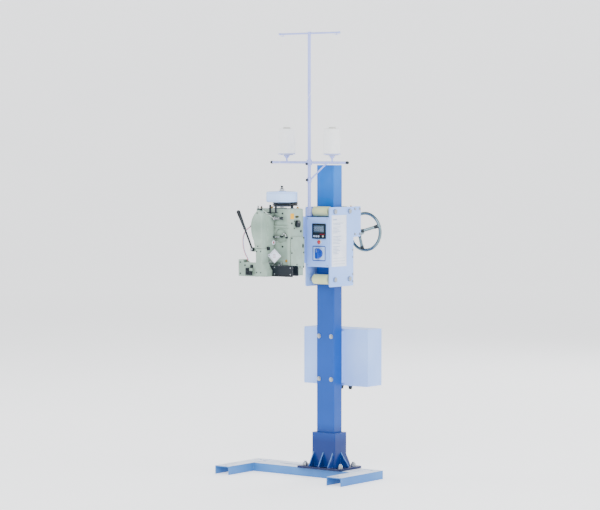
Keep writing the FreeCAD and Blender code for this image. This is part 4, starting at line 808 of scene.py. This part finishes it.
def arm_caps():
    """Caps on both arms' ends and thumb screws in the mast's collars."""
    caps = Piece("arm_end_caps")
    cap = [(0, 8.2), (12, 8.2), (14.5, 6.4), (15, 0)]
    for side, reach in ((1, 255), (-1, 256)):
        caps.turned(MAST + Vector((side * reach, 0, LOWER_ARM_Z)), X * side, cap)
    caps.done("carriage", "black_plastic")
    ends = Piece("upper_arm_caps")
    cap = [(0, 6.2), (11, 6.2), (12, 5.0), (12.4, 0)]
    for side in (-1, 1):
        ends.turned(MAST + Vector((side * 200, 0, UPPER_ARM_Z)), X * side, cap)
    ends.done("carriage", "mast_paint")
    screws = Piece("collar_thumb_screws")
    for z, reach in ((1752, 14.5), (1663, 12.5)):
        start = MAST + Vector((0, -reach, z))
        screws.turned(start, -Y, [(0, 3.0), (7, 3.0), (7, 7.5), (13, 7.5), (14, 6.5), (14, 0)], 32, 16, 0.9)
    screws.done("carriage", "black_plastic")


def cone_windings():
    """Crossing turns of thread on both cones, over their packed layers."""
    low, high = CONE_Z[0] + 3, CONE_Z[1] - 4
    slope = (CONE_R[1] - CONE_R[0]) / (CONE_Z[1] - CONE_Z[0])
    for name, centre in (("left", MAST.x - SPINDLE_X), ("right", MAST.x + SPINDLE_X)):
        wound = Piece("thread_winding_" + name)
        for turns, hand, phase in ((44, 1, 0.0), (17, -1, 1.0), (17, -1, 1.0 + math.pi)):
            points = []
            for k in range(turns * WINDING_STEPS + 1):
                share = k / (turns * WINDING_STEPS)
                z = low + (high - low) * share
                radius = CONE_R[0] + slope * (z - CONE_Z[0])
                t = phase + hand * 2 * math.pi * turns * share
                points.append((centre + radius * math.cos(t), MAST.y + radius * math.sin(t), z))
            wound.sweep(points, WINDING_R, 5)
        wound.done("carriage", "thread_white")
    cores = Piece("cone_cores")
    for centre in (MAST.x - SPINDLE_X, MAST.x + SPINDLE_X):
        rim = [(0, 21.5), (9.2, 20.0), (9.6, 18.5), (8.6, 8.0), (0, 8.0)]
        cores.turned(Vector((centre, MAST.y, CONE_Z[1] - 0.6)), Z, rim, 36, loop=True)
        lower = [(0, 36.0), (3.8, 36.0), (3.8, 20.0), (0, 20.0)]
        cores.turned(Vector((centre, MAST.y, CONE_Z[0] - 9)), Z, lower, 36, loop=True)
    cores.done("carriage", "grey_parts")


# ---------------- sewing head

BODY_SIDE, BODY_FRONT, BODY_TOP = -18.0, -350.0, 1508.0
COVER_FRONT, LEG_FACE, ARM_TOP = -470.0, -466.0, 1484.0
SIDE_COVER_FACE = BODY_SIDE + 4.0
KNOB_FACE = BODY_SIDE + 16.0
DRUM_R, DRUM_HOOP_Z, HUB_TOP = 86.6, (1552.0, 1591.0), 1603.0
GRIP_RINGS = [0.12 + 0.085 * k for k in range(9)]


def guard_tag():
    """Blank diamond plate beside the leg, on its strap."""
    tag = Piece("needle_guard_tag")
    centre = Vector((-71, -409.2, 1251))
    corners = [X * 45, Z * 39, X * -45, Z * -39]
    tag.slab(corners, centre, Y * 1.2, 0.3)
    tag.box((-114.5, -92), (-412.2, -409.0), (1246, 1260), 0.6)
    tag.done("carriage", "light_paint", "plate_white")
    print_mark = Piece("guard_tag_marks")
    start = centre - Y * 0.2
    for k in range(4):
        first, second = corners[k] * 0.84, corners[(k + 1) % 4] * 0.84
        inner = [second * 0.95, first * 0.95]
        print_mark.slab([first, second] + inner, start, Y * 0.3, 0)
    for z in (6, -2, -10):
        print_mark.slab([(-9, 0, z), (9, 0, z), (9, 0, z + 3), (-9, 0, z + 3)], start, Y * 0.3, 0)
    print_mark.done("carriage", "light_paint", "rose_print")
    screw = Piece("guard_tag_screw")
    screw.cap_screw((-104, -412.2, 1253), -Y, 3.6, 2.6)
    screw.done("carriage", "dark_steel")


def head_marks():
    """Plain coloured patches and plugs on the head's right side."""
    patch = Piece("head_patch")
    patch.box((BODY_SIDE - 0.2, BODY_SIDE + 0.8), (-334, -302), (1451, 1482), 0.3)
    patch.done("carriage", "head_paint", "yellow_mark")
    oval = Piece("head_oval")
    oval.slab(ellipse(Vector((0, -276, 1463)), Y * 17, Z * 6), X * (BODY_SIDE - 0.2), X * 2.4, 0.5)
    oval.done("carriage", "head_paint", "olive_mark")
    plugs = Piece("head_plugs")
    for y, z, radius in ((-322, 1428, 5.5), (-240, 1383, 6.5), (-298, 1440, 3.6), (-300, 1400, 3.4)):
        plugs.turned(Vector((BODY_SIDE - 0.3, y, z)), X,
                     [(0, radius), (2.4, radius), (3.2, radius * 0.8), (2.2, radius * 0.5), (2.2, 0)])
    plugs.slab(ellipse(Vector((0, -227, 1302)), Y * 5, Z * 12), X * (SIDE_COVER_FACE - 0.2), X * 2.8, 0.6)
    plugs.done("carriage", "black_plastic")
    brass = Piece("head_oil_plugs")
    brass.turned(Vector((-34, BODY_FRONT + 0.3, 1222)), -Y, [(0, 7.5), (2.5, 7.5), (4, 5.5), (3, 3), (3, 0)])
    profile = [(0, 8), (3, 8), (3.6, 6), (7, 5.6), (9, 3), (9.4, 0)]
    for x, y in ((-222, -238), (-44, -234), (-224, -330)):
        brass.turned(Vector((x, y, BODY_TOP - 0.4)), Z, profile)
    brass.done("carriage", "bronze")


def head_screws():
    """Dark screws of the side cover, the leg, the bridge, the face cover and the casting."""
    screws = Piece("head_screws")
    for y in (-327, -220):
        for z in (1185, 1265, 1346):
            screws.cap_screw((SIDE_COVER_FACE, y, z), X, 4.4, 2.6)
    for y, z in ((-281, 1200), (-254, 1186)):
        screws.cap_screw((SIDE_COVER_FACE, y, z), X, 4.0, 2.4)
    for x in (-150, -122):
        for z in (1276, 1160):
            screws.cap_screw((x, LEG_FACE, z), -Y, 3.4, 2.0)
    for y in (-400, -366):
        screws.cap_screw((-150, y, ARM_TOP), Z, 5.0, 4.0)
    for x, z in ((-139, 1304), (-143, 1486)):
        screws.cap_screw((x, COVER_FRONT, z), -Y, 3.6, 2.2)
    for x, z in ((-60, 1482), (-60, 1300), (-215, 1482), (-215, 1200)):
        screws.cap_screw((x, BODY_FRONT, z), -Y, 5.0, 3.2)
    screws.done("carriage", "dark_steel")


def inspection_cover():
    """Round cover on the head's left side."""
    cover = Piece("left_inspection_cover")
    centre = Vector((-250.0, -280.0, 1330.0))
    cover.turned(centre + X * 0.3, -X, [(0, 48), (3.6, 48), (4.8, 46.5), (4.8, 34), (6.6, 32), (6.6, 0)], 48)
    cover.done("carriage", "head_paint")
    screws = Piece("left_cover_screws")
    for spot in ellipse(centre - X * 4.5, Y * 41, Z * 41, 6, 30):
        screws.cap_screw(spot, -X, 3.4, 2.4)
    screws.done("carriage", "zinc_steel")


def sight_glass():
    """Red lens in a white ring on the inner side of the leg."""
    ring = Piece("sight_glass_ring")
    place = Vector((-115.2, -361, 1322))
    profile = [(0, 13.2), (2.6, 13.2), (3.6, 12), (3.6, 7.6), (2.0, 6.6), (0, 6.6)]
    ring.turned(place, X, profile, 36, loop=True)
    ring.done("carriage", "grey_parts", "plate_white")
    lens = Piece("sight_glass_lens")
    lens.turned(place, X, [(0, 6.5), (2.6, 6.2), (4.0, 4.0), (4.5, 0)])
    lens.done("carriage", "red_lens")


def presser_linkage():
    """Bright rod and bell crank between the bridge and the head."""
    rod = Piece("presser_linkage")
    y = BODY_FRONT - 8
    rod.sweep(straight((-115.5, y, 1352), (-62, y, 1356), 6), 4.0, 14)
    crank = [(-64, y, 1354), (-58, y, 1362), (-50, y, 1371), (-42, y, 1373), (-35, y, 1366), (-27, y, 1352)]
    rod.sweep(crank, 3.2, 12)
    for x, radius in ((-100, 6.6), (-84, 6.0)):
        rod.turned(Vector((x - 4, y, 1354)), X, [(0, radius), (7, radius), (8, radius - 1), (8, 0)])
    rod.turned(Vector((-50, BODY_FRONT + 0.2, 1370)), -Y, [(0, 6), (12, 6), (13, 5), (13, 0)])
    rod.done("carriage", "polished_steel")
    ends = Piece("linkage_ends")
    ends.turned(Vector((-114, y, 1352)), X, [(0, 7), (7, 7), (9, 5), (9, 0)])
    ends.turned(Vector((-27, y + 7, 1351)), -Y, [(0, 5.5), (10, 5.5), (12, 4), (12, 0)])
    ends.turned(Vector((-62, y + 7, 1356)), -Y, [(0, 6.5), (12, 6.5), (13, 5.4), (13, 0)])
    ends.box((-115.2, -105), (-421, -403), (1281, 1300), 2.0)
    ends.box((-124, -113), (-428.5, -427.5), (1283, 1292), 0.3)
    ends.done("carriage", "black_plastic")


def tension_details():
    """Conical spring, the knob's knurled grip and the index on the stitch knob."""
    spring = Piece("tension_spring")
    turns, steps, start, end = 7, 16, -97.5, -65.0
    points = []
    for k in range(turns * steps + 1):
        share = k / (turns * steps)
        t = 2 * math.pi * turns * share
        radius = 9.0 - 3.0 * share
        points.append((start + (end - start) * share, TENSION.y + radius * math.cos(t),
                       TENSION.z + radius * math.sin(t)))
    spring.sweep(points, 0.9, 8)
    spring.done("carriage", "polished_steel")
    grip = Piece("tension_knob_grip")
    ring = [(0, 8.6), (11, 8.6), (12, 7.8), (12, 3.6), (0, 3.6)]
    grip.turned(Vector((-58, TENSION.y, TENSION.z)), X, ring, 72, 18, 0.7, loop=True)
    grip.done("tension_knob", "black_plastic")
    index = Piece("stitch_knob_index")
    index.box((KNOB_FACE - 0.2, KNOB_FACE + 0.5), (-279, -277), (1428, 1441), 0.2)
    index.done("stitch_knob", "grey_parts")


def drum_details():
    """Knob on the shaft's end, rolled hoops round the drum and screws in its hub."""
    knob = Piece("drum_knob")
    profile = [(0, 9), (2.5, 9), (3.5, 4.5), (8, 4.0), (11, 7.5), (15, 7.5), (17, 5), (17, 0)]
    knob.turned(SHAFT + Z * 1615.8, Z, profile, 36)
    knob.done("main_drive", "dark_steel")
    hoops = Piece("drum_hoops")
    for z in DRUM_HOOP_Z:
        hoops.sweep(ellipse(SHAFT + Z * z, X * DRUM_R, Y * DRUM_R, 90), 0.8, 8, closed=True)
    hoops.done("main_drive", "light_paint")
    screws = Piece("drum_hub_screws")
    for spot in ellipse(SHAFT + Z * HUB_TOP, X * 18.5, Y * 18.5, 3, 20):
        screws.cap_screw(spot, Z, 3.0, 2.6)
    screws.done("main_drive", "zinc_steel")


def lever_details():
    """Rings on the lever's grip, its stop and pivot nut, and the ferrule of the cutter's leads."""
    grip = Piece("lever_grip_rings")
    way = (LEVER_END - LEVER_NECK).normalized()
    side, up = across(way)
    for share in GRIP_RINGS:
        centre = LEVER_NECK.lerp(LEVER_END, share)
        reach = GRIP_R[0] + (GRIP_R[1] - GRIP_R[0]) * share
        grip.sweep(ellipse(centre, side * reach, up * reach), 0.9, 8, closed=True)
    grip.turned(LEVER_NECK - way * 3, way, [(0, 5.8), (2, 8.6), (8, 8.6), (9, 7.6), (9, 0)])
    grip.done("lifter_lever", "black_plastic")
    stop = Piece("lever_stop")
    stop.box((-194, -158.6), (-438.5, -424), (1343, 1349), 0.8)
    stop.turned(Vector((-186, -431.5, 1349)), Z, [(0, 6.8), (14, 6.8), (17, 5.0), (17.5, 0)])
    stop.done("carriage", "black_plastic")
    nut = Piece("lever_pivot_nut")
    face = Vector((-197, -452.3, 1284))
    nut.turned(face, -Y, [(0, 7.5), (1.6, 7.5), (1.6, 0)])
    nut.turned(face - Y * 1.6, -Y, [(0, 6.0), (4.4, 6.0), (5.2, 5), (5.2, 0)], 6)
    nut.done("carriage", "zinc_steel")
    ferrule = Piece("lead_ferrule")
    way = Vector((-67, 0, -25)).normalized()
    ferrule.turned(Vector((-221.5, -418, 1411.7)), way, [(0, 7.2), (6, 7.2), (9, 5.0), (9.6, 0)])
    ferrule.done("carriage", "black_plastic")


CUTTER_FACE, CLAMP_FACE = -440.0, -455.5


def cutter_details():
    """Clamp plates and screws of the cutter, and the screws of the infeed guide."""
    clamp = Piece("cutter_clamp")
    plate = (CLAMP_FACE, CLAMP_FACE + 3.7)
    clamp.box((-238, -214), plate, (1143, 1183), 1.2)
    clamp.box((-212, -190), plate, (1143, 1166), 1.2)
    clamp.box((-212, -196), (CUTTER_FACE - 6, CUTTER_FACE + 0.2), (1184, 1200), 1.0)
    clamp.done("carriage", "dark_steel")
    screws = Piece("cutter_screws")
    for x, z in ((-226, 1173), (-226, 1154), (-201, 1155)):
        screws.cap_screw((x, CLAMP_FACE, z), -Y, 5.4, 4.0)
    for x, z in ((-285, 1150), (-285, 1212), (-252, 1196)):
        screws.cap_screw((x, CUTTER_FACE, z), -Y, 4.0, 2.6)
    screws.done("carriage", "dark_steel")
    rivets = Piece("guide_screws")
    for x in (-70, 40):
        for z in (1152, 1188):
            rivets.cap_screw((x, -409.7, z), -Y, 3.6, 2.2)
    rivets.done("carriage", "zinc_steel")


MOTOR_SHELF_TOP = 1458.0


def motor_details():
    """Lid of the terminal box, cable gland, fan cowl and flange bolts of the motor."""
    lid = Piece("terminal_box_lid")
    lid.box((-262, -258.7), (-147, -83), (1308, 1382), 1.0)
    for y in (-141, -89):
        for z in (1314, 1376):
            lid.cap_screw((-262, y, z), -X, 3.2, 2.2)
    lid.done("carriage", "motor_paint")
    gland = Piece("motor_gland")
    profile = [(0, 10), (4, 10), (4, 8.5), (14, 8.5), (17, 6), (17.4, 3.4), (10, 3.4), (10, 0)]
    gland.turned(Vector((-243, -115, 1310.4)), -Z, profile, 24)
    gland.turned(MOTOR + Z * 1215.2, -Z, [(0, 50), (3, 49), (5, 44), (5, 12), (3, 10), (3, 0)], 48)
    gland.done("carriage", "black_plastic")
    ribs = Piece("fan_cowl_ribs")
    for radius in (20, 29, 38):
        ribs.sweep(ellipse(MOTOR + Z * 1210, X * radius, Y * radius, 48), 1.4, 8, closed=True)
    ribs.done("carriage", "zinc_steel")
    bolts = Piece("motor_flange_bolts")
    for spot in ellipse(MOTOR + Z * MOTOR_SHELF_TOP, X * 44, Y * 44, 4, 45):
        bolts.hex_bolt(spot, Z, 5.5, 6.0)
    bolts.done("carriage", "zinc_steel")


# ---------------- rear enclosure

CONTACTOR_X, CONTACTOR_FACE, TERMINAL_FACE = (-90, -20), 143.0, 118.0


def enclosure_details():
    """Fronts of the contactors and relay, terminal screws, and washers of the hanging bolts."""
    fronts = Piece("contactor_fronts")
    for x in CONTACTOR_X:
        fronts.box((x - 19, x + 19), (142.6, 147), (714, 756), 1.2)
        fronts.box((x - 8, x + 8), (146.6, 149), (724, 746), 0.8)
    fronts.box((58, 102), (119.6, 123), (700, 750), 1.0)
    fronts.done("stand", "black_plastic")
    screws = Piece("terminal_screws")
    for x in range(-140, 140, 10):
        for z in (584, 613):
            screws.cap_screw((x + 4.8, TERMINAL_FACE, z), Y, 2.8, 1.2)
    for x in CONTACTOR_X:
        for step in (-16, 0, 16):
            for z in (698, 772):
                screws.cap_screw((x + step, CONTACTOR_FACE, z), Y, 3.6, 1.6)
    screws.done("stand", "zinc_steel")
    washers = Piece("enclosure_washers")
    for x in (-42.5, 42.5):
        for z in (550, 790):
            washers.turned(Vector((x, -40.1, z)), -Y, [(0, 13), (1.6, 13), (1.6, 0)], 30)
    washers.done("stand", "zinc_steel")


# ---------------- studio

FLOOR_FLAT, FLOOR_SWEEP = 17.0, 7.0
FLOOR_RINGS, FLOOR_STEPS = 12, 96


def studio():
    """Pale round floor that sweeps up all round."""
    mesh = bmesh.new()
    profile = [(radius, 0.0) for radius in (6.0, 12.0, FLOOR_FLAT)]
    for k in range(1, FLOOR_RINGS + 1):
        turn = math.pi / 2 * k / FLOOR_RINGS
        profile.append((FLOOR_FLAT + FLOOR_SWEEP * math.sin(turn), FLOOR_SWEEP * (1 - math.cos(turn))))
    rings = [[mesh.verts.new((0, 0, 0))]]
    for radius, z in profile:
        circle = ellipse(Z * z, X * radius, Y * radius, FLOOR_STEPS)
        rings.append([mesh.verts.new(point) for point in circle])
    for first, second in zip(rings, rings[1:]):
        join_rings(mesh, first, second)
    bmesh.ops.recalc_face_normals(mesh, faces=mesh.faces)
    data = bpy.data.meshes.new("studio_floor")
    mesh.to_mesh(data)
    mesh.free()
    data.shade_smooth()
    data.materials.append(floor_material())
    floor = bpy.data.objects.new("studio_floor", data)
    bpy.context.scene.collection.objects.link(floor)


LIT_POINT = Vector((0.0, 0.0, 1.2))
PANELS = (("key_panel", (3.5, -6.5, 6.0), 5.0, 640.0),
          ("fill_panel", (7.0, 2.0, 4.0), 4.0, 380.0),
          ("left_panel", (-6.5, -2.5, 4.5), 4.0, 260.0),
          ("rear_panel", (-1.0, 7.0, 5.0), 4.5, 340.0))


def panel_light(name, place, size, power):
    """Soft square panel that faces the middle of the machine."""
    data = bpy.data.lights.new(name, "AREA")
    data.shape = "SQUARE"
    data.size = size
    data.energy = power
    light = bpy.data.objects.new(name, data)
    bpy.context.scene.collection.objects.link(light)
    light.location = place
    light.rotation_euler = (LIT_POINT - Vector(place)).to_track_quat("-Z", "Y").to_euler()


def lights():
    """Even pale world and four panels."""
    world = bpy.data.worlds.new("studio_world")
    bpy.context.scene.world = world
    world.use_nodes = True
    sky = world.node_tree.nodes["Background"].inputs
    sky["Color"].default_value = (0.95, 0.97, 1.0, 1.0)
    sky["Strength"].default_value = 0.95
    for panel in PANELS:
        panel_light(*panel)


# ---------------- build

weld_beads()
gusset_edges()
instruction_plate()
carriage_fasteners()
oil_cup()
bearing_flange()
counter_display()
switch_marks()
lamp_bezel()
handwheel_details()
arm_caps()
cone_windings()
guard_tag()
head_marks()
head_screws()
inspection_cover()
sight_glass()
presser_linkage()
tension_details()
drum_details()
lever_details()
cutter_details()
motor_details()
enclosure_details()
studio()
lights()
